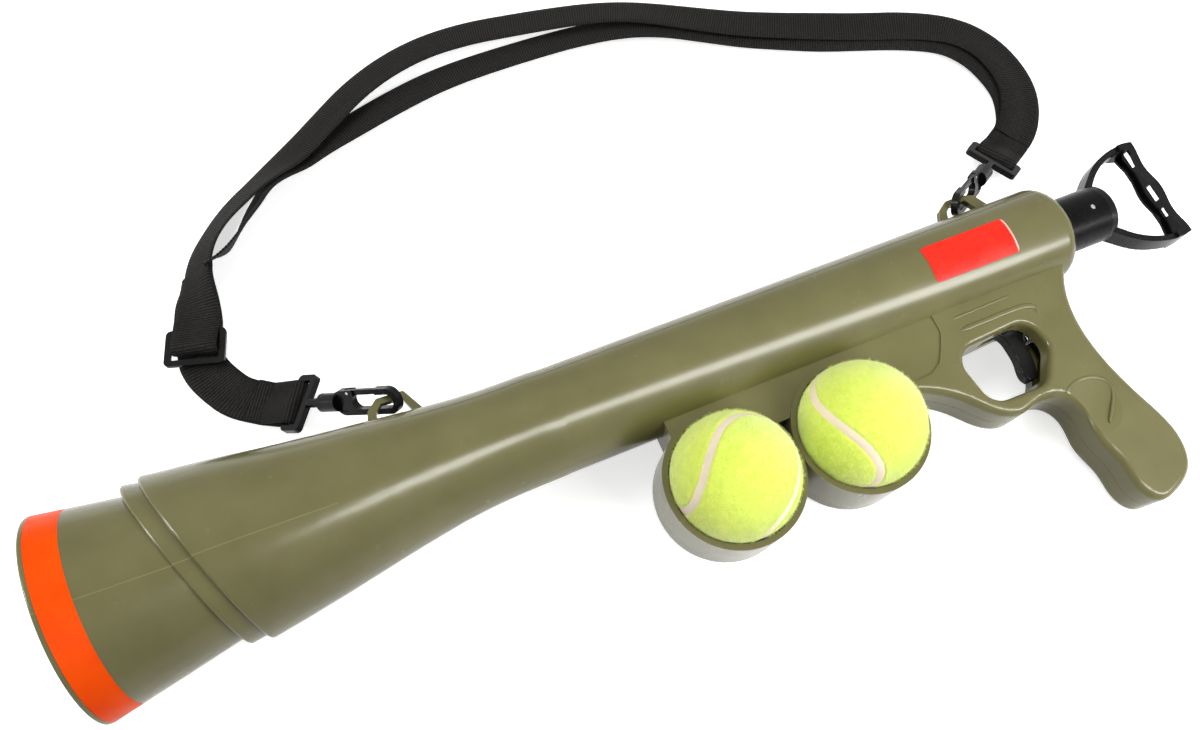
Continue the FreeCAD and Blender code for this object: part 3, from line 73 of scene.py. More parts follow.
camera = {
    "place": (157.6, -131.4, 472.5),      # in the launcher's frame, mm
    "right": (0.914, -0.396, 0.088),
    "down": (-0.342, -0.869, -0.358),
    "focalPixels": 978,
    "imageWidth": 1200,
    "sensor": 36,
    "clip": (0.02, 30),                   # nearest and furthest that it sees, m
}


def makeCamera():
    data = bpy.data.cameras.new("viewCamera")
    data.sensor_width = camera["sensor"]
    data.sensor_fit = "HORIZONTAL"
    data.lens = camera["focalPixels"] / camera["imageWidth"] * camera["sensor"]
    data.clip_start, data.clip_end = camera["clip"]
    seen = bpy.data.objects.new("viewCamera", data)
    right = turnFromLauncher(*camera["right"])
    up = -turnFromLauncher(*camera["down"])
    up = (up - right * up.dot(right)).normalized()
    turn = Matrix((right, up, right.cross(up))).transposed().to_4x4()
    seen.matrix_world = Matrix.Translation(fromLauncher(*camera["place"])) @ turn
    bpy.context.scene.collection.objects.link(seen)
    bpy.context.scene.camera = seen


makeCamera()
bpy.context.scene.view_settings.view_transform = "Standard"
print("camera placed")


# Materials. A noise is given by its scale, detail and roughness, and a span is the part of its range that
# the colours or the roughness spread over. Depths and widths are in mm.

def startMaterial(name, look):
    material = bpy.data.materials.new(name)
    material.use_nodes = True
    tree = material.node_tree
    shader = tree.nodes["Principled BSDF"]
    for socket, amount in look.items():
        shader.inputs[socket].default_value = amount
    coordinates = tree.nodes.new("ShaderNodeTexCoord")
    return material, tree, shader, coordinates.outputs["Object"]


def noiseTexture(tree, where, scale, detail, roughness=0.55):
    texture = tree.nodes.new("ShaderNodeTexNoise")
    texture.inputs["Scale"].default_value = scale
    texture.inputs["Detail"].default_value = detail
    texture.inputs["Roughness"].default_value = roughness
    tree.links.new(where, texture.inputs["Vector"])
    return texture.outputs["Fac"]


def rampBetween(tree, factor, colours, span):
    ramp = tree.nodes.new("ShaderNodeValToRGB")
    for element, colour, position in zip(ramp.color_ramp.elements, colours, span):
        element.position = position
        element.color = (*colour, 1)
    tree.links.new(factor, ramp.inputs["Fac"])
    return ramp.outputs["Color"]


def rangeBetween(tree, factor, ends, span=(0.0, 1.0)):
    mapping = tree.nodes.new("ShaderNodeMapRange")
    mapping.inputs["From Min"].default_value, mapping.inputs["From Max"].default_value = span
    mapping.inputs["To Min"].default_value, mapping.inputs["To Max"].default_value = ends
    tree.links.new(factor, mapping.inputs["Value"])
    return mapping.outputs["Result"]


def doMath(tree, operation, *values):
    node = tree.nodes.new("ShaderNodeMath")
    node.operation = operation
    for socket, amount in zip(node.inputs, values):
        if isinstance(amount, (int, float)):
            socket.default_value = amount
        else:
            tree.links.new(amount, socket)
    return node.outputs[0]


def waves(tree, distance, length):
    # A sine along a distance, one wave for each length
    return doMath(tree, "SINE", doMath(tree, "MULTIPLY", distance, 2 * math.pi / (length * mm)))


def mixColours(tree, factor, first, second):
    mix = tree.nodes.new("ShaderNodeMix")
    mix.data_type = "RGBA"
    for name, amount in (("Factor", factor), ("A", first), ("B", second)):
        if isinstance(amount, tuple):
            mix.inputs[name].default_value = (*amount, 1)
        else:
            tree.links.new(amount, mix.inputs[name])
    return mix.outputs["Result"]


def addBump(tree, shader, height):
    bump = tree.nodes.new("ShaderNodeBump")
    bump.inputs["Distance"].default_value = 1.0       # the height comes in metres
    bump.inputs["Strength"].default_value = 1.0
    tree.links.new(height, bump.inputs["Height"])
    tree.links.new(bump.outputs["Normal"], shader.inputs["Normal"])


launcherAxes = bpy.data.objects.new("launcherAxes", None)
launcherAxes.matrix_world = launcherFrame
bpy.context.scene.collection.objects.link(launcherAxes)


def alongLauncher(tree):
    coordinates = tree.nodes.new("ShaderNodeTexCoord")
    coordinates.object = launcherAxes
    split = tree.nodes.new("ShaderNodeSeparateXYZ")
    tree.links.new(coordinates.outputs["Object"], split.inputs[0])
    return split.outputs


# Fine lines on the olive shells: each is full within its first half width and gone at its second

shellLines = {
    "join": (0.088, 0.22),          # where the two shells meet
    "joinDepth": 0.2,
    "cups": (304, 376),             # the join steps down to cupJoin within cupRadius of these, at cupLow
    "cupLow": -62.8,
    "cupRadius": 36.6,
    "cupJoin": -12,
    "ridge": (0.132, 0.352),        # moulding line along the top of the cone and the bell, raised, and lightened with a painted highlight
    "ridgeHeight": 0.06,
    "ridgeAt": -9,
    "ridgeAbove": 20,
    "ridgeTo": 125,
    "crease": (0.24, 0.6),          # along the back of the barrel, as deep as the join
    "creaseAbove": 10,
    "creaseFrom": 168,
}


def softLine(tree, offset, halfWidths):
    return rangeBetween(tree, doMath(tree, "ABSOLUTE", offset), (1, 0), [half * mm for half in halfWidths])


def onlyWhere(tree, line, distance, comparison, limit):
    return doMath(tree, "MULTIPLY", line, doMath(tree, comparison, distance, limit * mm))


def partingLines(tree):
    # First 1 on the join and the crease, then 1 on the ridge
    x, y, z = alongLauncher(tree)
    look = shellLines
    distances = []
    for place in look["cups"]:
        alongX = doMath(tree, "SUBTRACT", x, place * mm)
        alongY = doMath(tree, "SUBTRACT", y, look["cupLow"] * mm)
        distances.append(doMath(tree, "SQRT", doMath(tree, "ADD", doMath(tree, "MULTIPLY", alongX, alongX),
                                                     doMath(tree, "MULTIPLY", alongY, alongY))))
    inCup = doMath(tree, "LESS_THAN", doMath(tree, "MINIMUM", *distances), look["cupRadius"] * mm)
    height = doMath(tree, "SUBTRACT", z, doMath(tree, "MULTIPLY", inCup, look["cupJoin"] * mm))
    join = softLine(tree, height, look["join"])
    ridge = softLine(tree, doMath(tree, "SUBTRACT", y, look["ridgeAt"] * mm), look["ridge"])
    ridge = onlyWhere(tree, ridge, x, "LESS_THAN", look["ridgeTo"])
    ridge = onlyWhere(tree, ridge, z, "GREATER_THAN", look["ridgeAbove"])
    crease = softLine(tree, doMath(tree, "SUBTRACT", y, z), look["crease"])
    crease = onlyWhere(tree, crease, z, "GREATER_THAN", look["creaseAbove"])
    crease = onlyWhere(tree, crease, x, "GREATER_THAN", look["creaseFrom"])
    return doMath(tree, "MAXIMUM", join, crease), ridge


olive = {
    "colours": ((0.13, 0.12, 0.045), (0.155, 0.143, 0.057)),
    "joinColour": (0.035, 0.032, 0.014),
    # the ridge's lighter colour is a painted highlight along the moulding line
    "ridgeHighlightColour": (0.26, 0.235, 0.1),
    "ridgeHighlightShare": 0.5,              # how much of that painted highlight colour the ridge takes
    "mottle": (35, 4),
    "mottleSpan": (0.3, 0.7),
    "rough": (0.22, 0.28),
    "rub": (120, 5, 0.7),
    "rubSpan": (0.35, 0.7),
    "peel": (420, 2),               # orange peel
    "peelDepth": 0.02,
    "shader": {"Coat Weight": 0.14, "Coat Roughness": 0.14, "Specular IOR Level": 0.2},
}


def olivePlastic():
    material, tree, shader, where = startMaterial("olivePlastic", olive["shader"])
    mottle = noiseTexture(tree, where, *olive["mottle"])
    base = rampBetween(tree, mottle, olive["colours"], olive["mottleSpan"])
    join, ridge = partingLines(tree)
    colour = mixColours(tree, join, base, olive["joinColour"])
    # Lightens the ridge: a painted highlight on the moulding line
    ridgeHighlightShare = doMath(tree, "MULTIPLY", ridge, olive["ridgeHighlightShare"])
    colour = mixColours(tree, ridgeHighlightShare, colour, olive["ridgeHighlightColour"])
    tree.links.new(colour, shader.inputs["Base Color"])
    rub = noiseTexture(tree, where, *olive["rub"])
    tree.links.new(rangeBetween(tree, rub, olive["rough"], olive["rubSpan"]), shader.inputs["Roughness"])
    peel = doMath(tree, "MULTIPLY", noiseTexture(tree, where, *olive["peel"]), olive["peelDepth"] * mm)
    raised = doMath(tree, "MULTIPLY", ridge, shellLines["ridgeHeight"] * mm)
    sunk = doMath(tree, "MULTIPLY", join, shellLines["joinDepth"] * mm)
    addBump(tree, shader, doMath(tree, "SUBTRACT", doMath(tree, "ADD", peel, raised), sunk))
    return material


# Plain moulded pieces: mottled colour, uneven roughness and fine grain

moulded = {
    "mottle": (60, 4),
    "mottleSpan": (0.35, 0.65),
    "rub": (150, 5, 0.7),
    "rubSpan": (0.35, 0.7),
    "grainDetail": 2,
}


def startMoulded(name, colours, rough, grain=900, depth=0.01, shine=0.35):
    # All but the link of its colour, which comes last in what this gives back
    material, tree, shader, where = startMaterial(name, {"Specular IOR Level": shine})
    rub = noiseTexture(tree, where, *moulded["rub"])
    tree.links.new(rangeBetween(tree, rub, rough, moulded["rubSpan"]), shader.inputs["Roughness"])
    grained = noiseTexture(tree, where, grain, moulded["grainDetail"])
    addBump(tree, shader, doMath(tree, "MULTIPLY", grained, depth * mm))
    mottle = noiseTexture(tree, where, *moulded["mottle"])
    return material, tree, shader, where, rampBetween(tree, mottle, colours, moulded["mottleSpan"])


def mouldedSurface(*look, **more):
    material, tree, shader, where, colour = startMoulded(*look, **more)
    tree.links.new(colour, shader.inputs["Base Color"])
    return material


label = {
    "film": {"name": "redFilm", "colours": ((0.8, 0.018, 0.009), (0.86, 0.028, 0.014)), "rough": (0.22, 0.34),
             "grain": 300, "depth": 0.008, "shine": 0.12},
    "edge": (0.86, 0.6, 0.52),      # its rear edge turns pale
    "edgeFrom": 499.1,              # where that starts on the launcher, and the width over which it grows
    "edgeWidth": 0.7,
    "edgeShare": 0.85,              # how pale it gets
    "edgeWobble": (300, 3),               # unevenness of where it starts
    "edgeWobbleDepth": 0.8,
}


def labelFilm():
    material, tree, shader, where, film = startMoulded(**label["film"])
    back = alongLauncher(tree)["X"]
    edgeWobble = doMath(tree, "MULTIPLY", noiseTexture(tree, where, *label["edgeWobble"]), label["edgeWobbleDepth"] * mm)
    span = (label["edgeFrom"] * mm, (label["edgeFrom"] + label["edgeWidth"]) * mm)
    paleEdgeShare = rangeBetween(tree, doMath(tree, "ADD", back, edgeWobble), (0, label["edgeShare"]), span)
    tree.links.new(mixColours(tree, paleEdgeShare, film, label["edge"]), shader.inputs["Base Color"])
    return material


metal = {
    "stretch": (40, 40, 400),       # draws the noise out into streaks
    "streaks": (20, 4, 0.7),
    "span": (0.3, 0.7),
    "depth": 0.008,
}


def brushedMetal(name, colours, rough):
    material, tree, shader, where = startMaterial(name, {"Metallic": 1.0})
    stretch = tree.nodes.new("ShaderNodeMapping")
    stretch.inputs["Scale"].default_value = metal["stretch"]
    tree.links.new(where, stretch.inputs["Vector"])
    streaks = noiseTexture(tree, stretch.outputs["Vector"], *metal["streaks"])
    tree.links.new(rampBetween(tree, streaks, colours, metal["span"]), shader.inputs["Base Color"])
    tree.links.new(rangeBetween(tree, streaks, rough, metal["span"]), shader.inputs["Roughness"])
    addBump(tree, shader, doMath(tree, "MULTIPLY", streaks, metal["depth"] * mm))
    return material


foam = {
    # dark in the pits of the cells, a painted shade, lighter between them
    "colours": ((0.02, 0.02, 0.02), (0.07, 0.07, 0.07)),
    "span": (0.0, 0.6),
    "cells": 1400,
    "depth": 0.12,
    "shader": {"Roughness": 0.9},
}


def foamRubber():
    material, tree, shader, where = startMaterial("greyFoam", foam["shader"])
    cells = tree.nodes.new("ShaderNodeTexVoronoi")
    cells.inputs["Scale"].default_value = foam["cells"]
    tree.links.new(where, cells.inputs["Vector"])
    depth = cells.outputs["Distance"]
    # The colour follows the pits of the bump: a painted shade, darker deep in each cell
    tree.links.new(rampBetween(tree, depth, foam["colours"], foam["span"]), shader.inputs["Base Color"])
    addBump(tree, shader, doMath(tree, "MULTIPLY", depth, foam["depth"] * mm))
    return material


felt = {
    "skin": ((0.72, 0.9, 0.075), (0.86, 1.0, 0.14)),
    "fibre": ((0.86, 1.0, 0.14), (0.88, 1.0, 0.24)),
    "clumps": (260, 6, 0.75),
    "clumpSpan": (0.35, 0.62),
    "nap": (900, 5, 0.8),
    "napDepth": 0.6,
    "shader": {"Roughness": 0.95, "Sheen Weight": 0.8, "Sheen Roughness": 0.5, "Specular IOR Level": 0.1},
}


def ballFelt(name, colours):
    material, tree, shader, where = startMaterial(name, felt["shader"])
    clumps = noiseTexture(tree, where, *felt["clumps"])
    tree.links.new(rampBetween(tree, clumps, colours, felt["clumpSpan"]), shader.inputs["Base Color"])
    nap = noiseTexture(tree, where, *felt["nap"])
    addBump(tree, shader, doMath(tree, "MULTIPLY", nap, felt["napDepth"] * mm))
    return material


webbing = {
    "width": 25,
    "thick": 1.5,
    "strands": 11,                  # divisions of its mesh from edge to edge
    "crownFrom": 0.86,              # it thins beyond this share of its half width, by crown at the edge
    "crown": 0.55,
    "ribDepth": 0.22,
    "ribTo": 0.93,                  # beyond this share the ribs are only ribEdge as deep
    "ribEdge": 0.3,
    "pitch": 1.6,                   # from one rib to the next
    "slant": 0.08,                  # how far the ribs run aslant
    "warp": 1.1,                    # from one thread to the next, along and across
    "weft": 1.6,
    "weavePaintedShade": 0.16,             # how strongly the weave and the ribs show in the colour, as painted shade darkening their hollows
    "ribPaintedShade": 0.2,
    "relief": 0.3,
    "colours": ((0.0015, 0.0015, 0.0015), (0.034, 0.032, 0.029)),
    "shadeSpan": (0.25, 0.85),
    "rough": (0.5, 0.8),
    "fuzz": (700, 5, 0.7),
    "fuzzSpan": (0.3, 0.7),
    "shader": {"Specular IOR Level": 0.06},
}


def wovenWebbing():
    # The weave map runs along the webbing and across it, in metres
    material, tree, shader, where = startMaterial("wovenWebbing", webbing["shader"])
    weaveMap = tree.nodes.new("ShaderNodeUVMap")
    weaveMap.uv_map = "weave"
    split = tree.nodes.new("ShaderNodeSeparateXYZ")
    tree.links.new(weaveMap.outputs["UV"], split.inputs[0])
    along, over = split.outputs[0], split.outputs[1]
    weave = doMath(tree, "MULTIPLY", waves(tree, over, webbing["warp"]), waves(tree, along, webbing["weft"]))
    aslant = doMath(tree, "ADD", along, doMath(tree, "MULTIPLY", over, webbing["slant"]))
    rib = waves(tree, aslant, webbing["pitch"])
    fuzz = noiseTexture(tree, where, *webbing["fuzz"])
    # The colour darkens in the hollows of the weave and the ribs, a painted shade; the fuzz adds tone at
    # random
    shade = doMath(tree, "ADD", doMath(tree, "MULTIPLY", weave, webbing["weavePaintedShade"]),
                   doMath(tree, "MULTIPLY", rib, webbing["ribPaintedShade"]))
    shade = doMath(tree, "ADD", shade, fuzz)
    colour = rampBetween(tree, shade, webbing["colours"], webbing["shadeSpan"])
    tree.links.new(colour, shader.inputs["Base Color"])
    rough = rangeBetween(tree, fuzz, webbing["rough"], webbing["fuzzSpan"])
    tree.links.new(rough, shader.inputs["Roughness"])
    addBump(tree, shader, doMath(tree, "MULTIPLY", shade, webbing["relief"] * mm))
    return material


finishes = {
    "olive": olivePlastic(),
    "orange": mouldedSurface("orangePlastic", ((0.95, 0.065, 0.0), (1.0, 0.085, 0.0)), (0.35, 0.46),
                             grain=500, shine=0.08),
    "black": mouldedSurface("blackPlastic", ((0.004, 0.004, 0.004), (0.009, 0.0085, 0.008)), (0.2, 0.32),
                            grain=700, depth=0.03, shine=0.14),
    "sleeve": mouldedSurface("blackSleeve", ((0.003, 0.003, 0.003), (0.006, 0.0055, 0.0055)), (0.22, 0.36),
                             grain=400, shine=0.07),
    "grey": mouldedSurface("greyPlastic", ((0.05, 0.05, 0.052), (0.08, 0.08, 0.082)), (0.35, 0.5)),
    "red": labelFilm(),
    "white": mouldedSurface("whitePlastic", ((0.6, 0.59, 0.55), (0.7, 0.69, 0.65)), (0.35, 0.5)),
    "rubber": mouldedSurface("blackRubber", ((0.012, 0.012, 0.012), (0.02, 0.02, 0.02)), (0.6, 0.8)),
    "core": mouldedSurface("ballRubber", ((0.09, 0.075, 0.06), (0.13, 0.11, 0.09)), (0.6, 0.8)),
    "foam": foamRubber(),
    "spring": brushedMetal("springSteel", ((0.36, 0.36, 0.37), (0.56, 0.56, 0.57)), (0.22, 0.4)),
    "steel": brushedMetal("zincSteel", ((0.5, 0.5, 0.5), (0.68, 0.68, 0.67)), (0.25, 0.42)),
    "felt": ballFelt("ballFelt", felt["skin"]),
    "fibre": ballFelt("ballFibre", felt["fibre"]),
    "seam": mouldedSurface("ballSeam", ((0.78, 0.66, 0.5), (0.88, 0.76, 0.58)), (0.7, 0.9), depth=0.04),
    "webbing": wovenWebbing(),
}

nodeFinishes = {
    "olive": ("left_body_shell", "right_body_shell", "muzzle_cone", "collar_ring"),
    "orange": ("muzzle_band",),
    "black": ("pull_handle", "trigger", "front_hook_body", "front_hook_gate", "front_swivel_ring",
              "rear_hook_body", "rear_hook_gate", "rear_swivel_ring", "strap_slider"),
    "sleeve": ("pull_tube",),
    "grey": ("launching_cup", "air_cylinder", "sear"),
    "red": ("label_patch",),
    "white": ("piston", "spring_bush", "rear_bush"),
    "rubber": ("front_bumper", "piston_seal"),
    "core": ("ball_1_core", "ball_2_core"),
    "foam": ("ball_cushion",),
    "spring": ("main_spring", "trigger_spring", "sear_spring"),
    "steel": ("shell_screws", "trigger_pin", "sear_pin", "piston_pin", "handle_pin", "front_gate_pin",
              "rear_gate_pin"),
}

for finish, names in nodeFinishes.items():
    for name in names:
        nodes[name].data.materials.clear()
        nodes[name].data.materials.append(finishes[finish])
print("materials made:", len(finishes))


# Making meshes

splineSteps = 14        # points between one control point and the next
shortest = 1e-9         # keeps two points in one place from dividing by nothing


def linkPiece(name, mesh, material, smooth=True):
    mesh.polygons.foreach_set("use_smooth", [smooth] * len(mesh.polygons))
    mesh.materials.append(material)
    made = bpy.data.objects.new(name, mesh)
    bpy.context.scene.collection.objects.link(made)
    return made


def meshPiece(name, points, faces, material, smooth=True):
    mesh = bpy.data.meshes.new(name)
    mesh.from_pydata([tuple(point) for point in points], [], faces)
    mesh.update()
    return linkPiece(name, mesh, material, smooth)


def tubeFaces(rings, around):
    # Faces between rings of points that follow each other, closed at both ends
    faces = []
    for number in range(rings - 1):
        for step in range(around):
            following = (step + 1) % around
            faces.append((number * around + step, number * around + following,
                          (number + 1) * around + following, (number + 1) * around + step))
    faces.append(tuple(reversed(range(around))))
    faces.append(tuple(range((rings - 1) * around, rings * around)))
    return faces


def splineLine(points):
    # Points along a smooth spline that has the route's points as its control points
    curve = bpy.data.curves.new("route", "CURVE")
    curve.dimensions = "3D"
    curve.resolution_u = splineSteps
    spline = curve.splines.new("NURBS")
    spline.points.add(len(points) - 1)
    for control, point in zip(spline.points, points):
        control.co = (*point, 1)
    spline.order_u = 3
    spline.use_endpoint_u = True
    holder = bpy.data.objects.new("route", curve)
    bpy.context.scene.collection.objects.link(holder)
    bpy.context.view_layer.update()
    line = bpy.data.meshes.new_from_object(holder)
    found = [vertex.co.copy() for vertex in line.vertices]
    bpy.data.objects.remove(holder)
    bpy.data.curves.remove(curve)
    bpy.data.meshes.remove(line)
    return found


def evenLine(points, step):
    # The same line with its points an even step apart
    lengths = [0.0]
    for first, last in zip(points, points[1:]):
        lengths.append(lengths[-1] + (last - first).length)
    count = max(2, round(lengths[-1] / step))
    line = []
    place = 0
    for number in range(count + 1):
        wanted = lengths[-1] * number / count
        while place < len(points) - 2 and lengths[place + 1] < wanted:
            place += 1
        share = (wanted - lengths[place]) / max(lengths[place + 1] - lengths[place], shortest)
        line.append(points[place].lerp(points[place + 1], min(max(share, 0), 1)))
    return line


def courseAt(line, number):
    # From the point before to the point after
    return line[min(number + 1, len(line) - 1)] - line[max(number - 1, 0)]


def ribbonRings(line, sides):
    # Cross sections of the webbing along a line, each point with its place across from -1 to 1
    half = webbing["width"] / 2 * mm
    thick = webbing["thick"] / 2 * mm
    crownFrom = webbing["crownFrom"]
    places = [-1 + 2 * number / webbing["strands"] for number in range(webbing["strands"] + 1)]
    rings = []
    for number, (spot, side) in enumerate(zip(line, sides)):
        up = side.cross(courseAt(line, number).normalized()).normalized()
        rib = webbing["ribDepth"] / 2 * mm * (1 if number % 2 else -1)
        ring = []
        for face, order in ((up, places), (-up, places[::-1])):
            for v in order:
                crown = 1 - webbing["crown"] * max(0, (abs(v) - crownFrom) / (1 - crownFrom)) ** 2
                ribShare = 1 if abs(v) < webbing["ribTo"] else webbing["ribEdge"]
                ring.append((spot + side * v * half + face * (thick * crown + rib * ribShare), v))
        rings.append(ring)
    return rings


def ribbon(name, line, sides):
    rings = ribbonRings(line, sides)
    count = len(rings[0])
    points = [point for ring in rings for point, v in ring]
    made = meshPiece(name, points, tubeFaces(len(rings), count), finishes["webbing"])
    layer = made.data.uv_layers.new(name="weave")
    step = (line[1] - line[0]).length
    half = webbing["width"] / 2 * mm
    for loop in made.data.loops:
        number, corner = divmod(loop.vertex_index, count)
        layer.data[loop.index].uv = (number * step, rings[number][corner][1] * half)
    return made


# Sling strap: routes on the floor, mm, with the height of the middle of the webbing

strap = {
    "lower": [(599, 101, 0.9), (604, 115, 0.9), (604, 132, 0.9), (600, 152, 0.9), (588, 171, 0.9),
              (563, 185, 0.9), (537, 195, 0.9), (512, 204, 0.9), (489, 215, 0.9), (465, 227, 0.9),
              (442, 240, 0.9), (418, 253, 0.9), (391, 262, 0.9), (362, 266, 0.9), (332, 267.5, 0.9),
              (290, 268, 0.9), (261, 266, 0.9), (232, 260, 0.9), (203, 252, 0.9), (172, 243, 0.9),
              (148, 230, 0.9), (129, 210, 0.9), (113.5, 190, 0.9), (103, 186, 0.9),
              (92.96, 187.54, 0.9), (90.55, 179.91, 0.9), (77, 137, 1.2), (77.4, 124, 1.0),
              (83.7, 110.6, 0.9)],
    "upper": [(602, 100, 2.7), (610, 115, 2.7), (613, 134, 2.7), (610, 156, 2.7), (598, 175, 2.7),
              (573, 190, 2.7), (543, 201, 2.7), (517, 212, 2.7), (492, 222.5, 2.7), (467, 234, 2.7),
              (444, 247, 2.7), (421, 261, 2.4), (400, 272, 2.4), (377, 280, 2.4), (350, 286, 2.4),
              (322, 291, 2.4), (296, 295, 2.4), (267, 295, 2.4), (240, 289, 2.4), (213, 277, 2.4),
              (190, 261, 2.4), (166, 244, 2.6), (144, 231, 2.9), (119, 216, 2.9), (102, 200, 2.9)],
    "lowerHeight": 0.9,             # of the first and last points, which the folded ends give
    "upperHeight": 2.45,
}

# Folded ends: the bar that the webbing goes round, the way that it leaves, how far the fold reaches, the
# height that it lies at and, where it stands up, by how much
strapEnds = {
    "rear": {"bar": (560.72, 71.07, 9.67), "run": (0.8799, 0.4751), "tail": 26, "low": 0.15},
    "front": {"bar": (117.91, 80.63, 9.92), "run": (-0.8146, 0.58), "tail": 26, "low": 0.15},
    "slider": {"bar": (77, 137, 6.0), "run": (0.3011, 0.9536), "tail": 45, "low": 1.6,
               "roll": [(14, 0), (45, 38)]},
}
strapFold = {
    "room": 2.9,                    # from the middle of the bar to the webbing
    "sewn": 9,                      # length at the tail that lies flat on itself
    "turns": 24,                    # divisions of the mesh round the bar
    "lead": 8,                      # straight length of a run beyond the fold
}

# How far the webbing stands on its outer edge, in degrees, by the distance from the slider
strapRoll = {
    "lower": [(14, 0), (45, 38), (72, 60), (105, 46), (150, 18), (380, 14), (470, 8), (600, 3)],
    "upper": [(45, 38), (72, 42), (105, 36), (150, 18), (380, 14), (470, 8), (600, 3)],
    "flatTo": 14,
    "layerHeight": 1.6,             # between the lower and the upper webbing
    "waver": 2.5,                   # degrees, fading out over waverEase of a run at each end
    "waverTurn": 17,
    "waverEase": 1 / 12,
}


def rollAtDistance(table, distance):
    if distance <= table[0][0]:
        return table[0][1]
    for (first, low), (last, high) in zip(table, table[1:]):
        if distance < last:
            share = (distance - first) / (last - first)
            return low + (high - low) * share * share * (3 - 2 * share)
    return table[-1][1]


def rollLine(line, outward, angles):
    # Stand the webbing on its outer edge: each point moves up and out with its layer, and its side turns
    layerHeight = strapRoll["layerHeight"] * mm
    lifted = []
    sides = []
    for spot, side, angle in zip(line, outward, angles):
        lean = math.radians(angle)
        normal = Vector((0, 0, math.cos(lean))) + side * math.sin(lean)
        rise = webbing["width"] / 2 * mm * abs(math.sin(lean))
        lifted.append(Vector((spot.x, spot.y, layerHeight + rise)) + normal * (spot.z - layerHeight))
        sides.append(side * math.cos(lean) - Vector((0, 0, math.sin(lean))))
    return lifted, sides


def rollRun(line, table):
    # The runs are drawn from the rear to the slider, so their outer side is to the right of their course
    barSpot = fromFloor(*strapEnds["slider"]["bar"])
    last = len(line) - 1
    nearest = min(range(len(line)), key=lambda number: (line[number] - barSpot).length)
    step = (line[1] - line[0]).length / mm
    start = (line[nearest] - barSpot).to_2d().length / mm if nearest == last else 0
    outward = []
    angles = []
    for number in range(len(line)):
        outward.append(courseAt(line, number).cross(Vector((0, 0, 1))).normalized())
        share = number / last
        ease = min(1, share / strapRoll["waverEase"], (1 - share) / strapRoll["waverEase"])
        waver = strapRoll["waver"] * math.sin(share * strapRoll["waverTurn"]) * ease
        distance = (nearest - number) * step + start
        angles.append(rollAtDistance(table, distance) + waver if distance > strapRoll["flatTo"] else 0)
    return rollLine(line, outward, angles)


def tangentSpot(middle, radius, spot, side):
    # Where a line from the spot touches the circle
    run = middle - spot
    turn = math.asin(radius / run.length) * side
    turned = Vector((run.x * math.cos(turn) - run.y * math.sin(turn),
                     run.x * math.sin(turn) + run.y * math.cos(turn)))
    return spot + turned.normalized() * math.sqrt(run.length ** 2 - radius ** 2)


def angleRound(middle, spot):
    return math.atan2(spot.y - middle.y, spot.x - middle.x) % (2 * math.pi)


def webLoop(name, end):
    # Webbing folded round a bar: out along the floor, round the bar and back on top of itself
    bar, run, tail = end["bar"], end["run"], end["tail"]
    radius = strapFold["room"] + webbing["thick"] / 2
    middle = Vector((0, bar[2]))
    low = end["low"] + webbing["thick"] / 2
    high = low + webbing["thick"]
    lowEnd = Vector((tail - strapFold["sewn"], low))
    highEnd = Vector((tail - strapFold["sewn"], high))
    under = tangentSpot(middle, radius, lowEnd, 1)
    over = tangentSpot(middle, radius, highEnd, -1)
    if under.y > over.y:
        under = tangentSpot(middle, radius, lowEnd, -1)
        over = tangentSpot(middle, radius, highEnd, 1)
    first = angleRound(middle, under)
    last = angleRound(middle, over)
    flat = [Vector((tail, low)), lowEnd]
    for step in range(strapFold["turns"] + 1):
        angle = first + (last - first) * step / strapFold["turns"]
        flat.append(middle + Vector((math.cos(angle), math.sin(angle))) * radius)
    flat += [highEnd, Vector((tail, high))]
    line = evenLine([fromFloor(bar[0] + run[0] * spot.x, bar[1] + run[1] * spot.x, spot.y) for spot in flat],
                    webbing["pitch"] / 2 * mm)
    sides = [Vector((-run[1], run[0], 0)).normalized()] * len(line)
    if "roll" in end:
        away = Vector((run[0], run[1], 0)).normalized()
        reaches = [(spot - fromFloor(bar[0], bar[1], 0)).dot(away) / mm for spot in line]
        line, sides = rollLine(line, sides, [rollAtDistance(end["roll"], reach) for reach in reaches])
    return ribbon(name, line, sides)


def endPoints(end, height):
    # The two route points beyond a folded end, going away from it
    bar, run = end["bar"], end["run"]
    return [(bar[0] + run[0] * reach, bar[1] + run[1] * reach, height)
            for reach in (end["tail"], end["tail"] + strapFold["lead"])]


def makeRun(name, node, route, table):
    line = evenLine(splineLine([fromFloor(*point) for point in route]), webbing["pitch"] / 2 * mm)
    line, sides = rollRun(line, table)
    run = ribbon(name, line, sides)
    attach(run, "launcher")
    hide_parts(node)


def makeStrap():
    for end in strapEnds:
        loop = webLoop(end + "WebLoop", strapEnds[end])
        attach(loop, "launcher")
        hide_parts("strap_" + end + "_loop")
    low, high = strap["lowerHeight"], strap["upperHeight"]
    lower = endPoints(strapEnds["rear"], low) + strap["lower"] + endPoints(strapEnds["front"], low)[::-1]
    upper = endPoints(strapEnds["rear"], high) + strap["upper"] + endPoints(strapEnds["slider"], high)[::-1]
    makeRun("lowerWebbing", "strap_lower_run", lower, strapRoll["lower"])
    makeRun("upperWebbing", "strap_upper_run", upper, strapRoll["upper"])


makeStrap()
print("strap made")


# Tennis balls

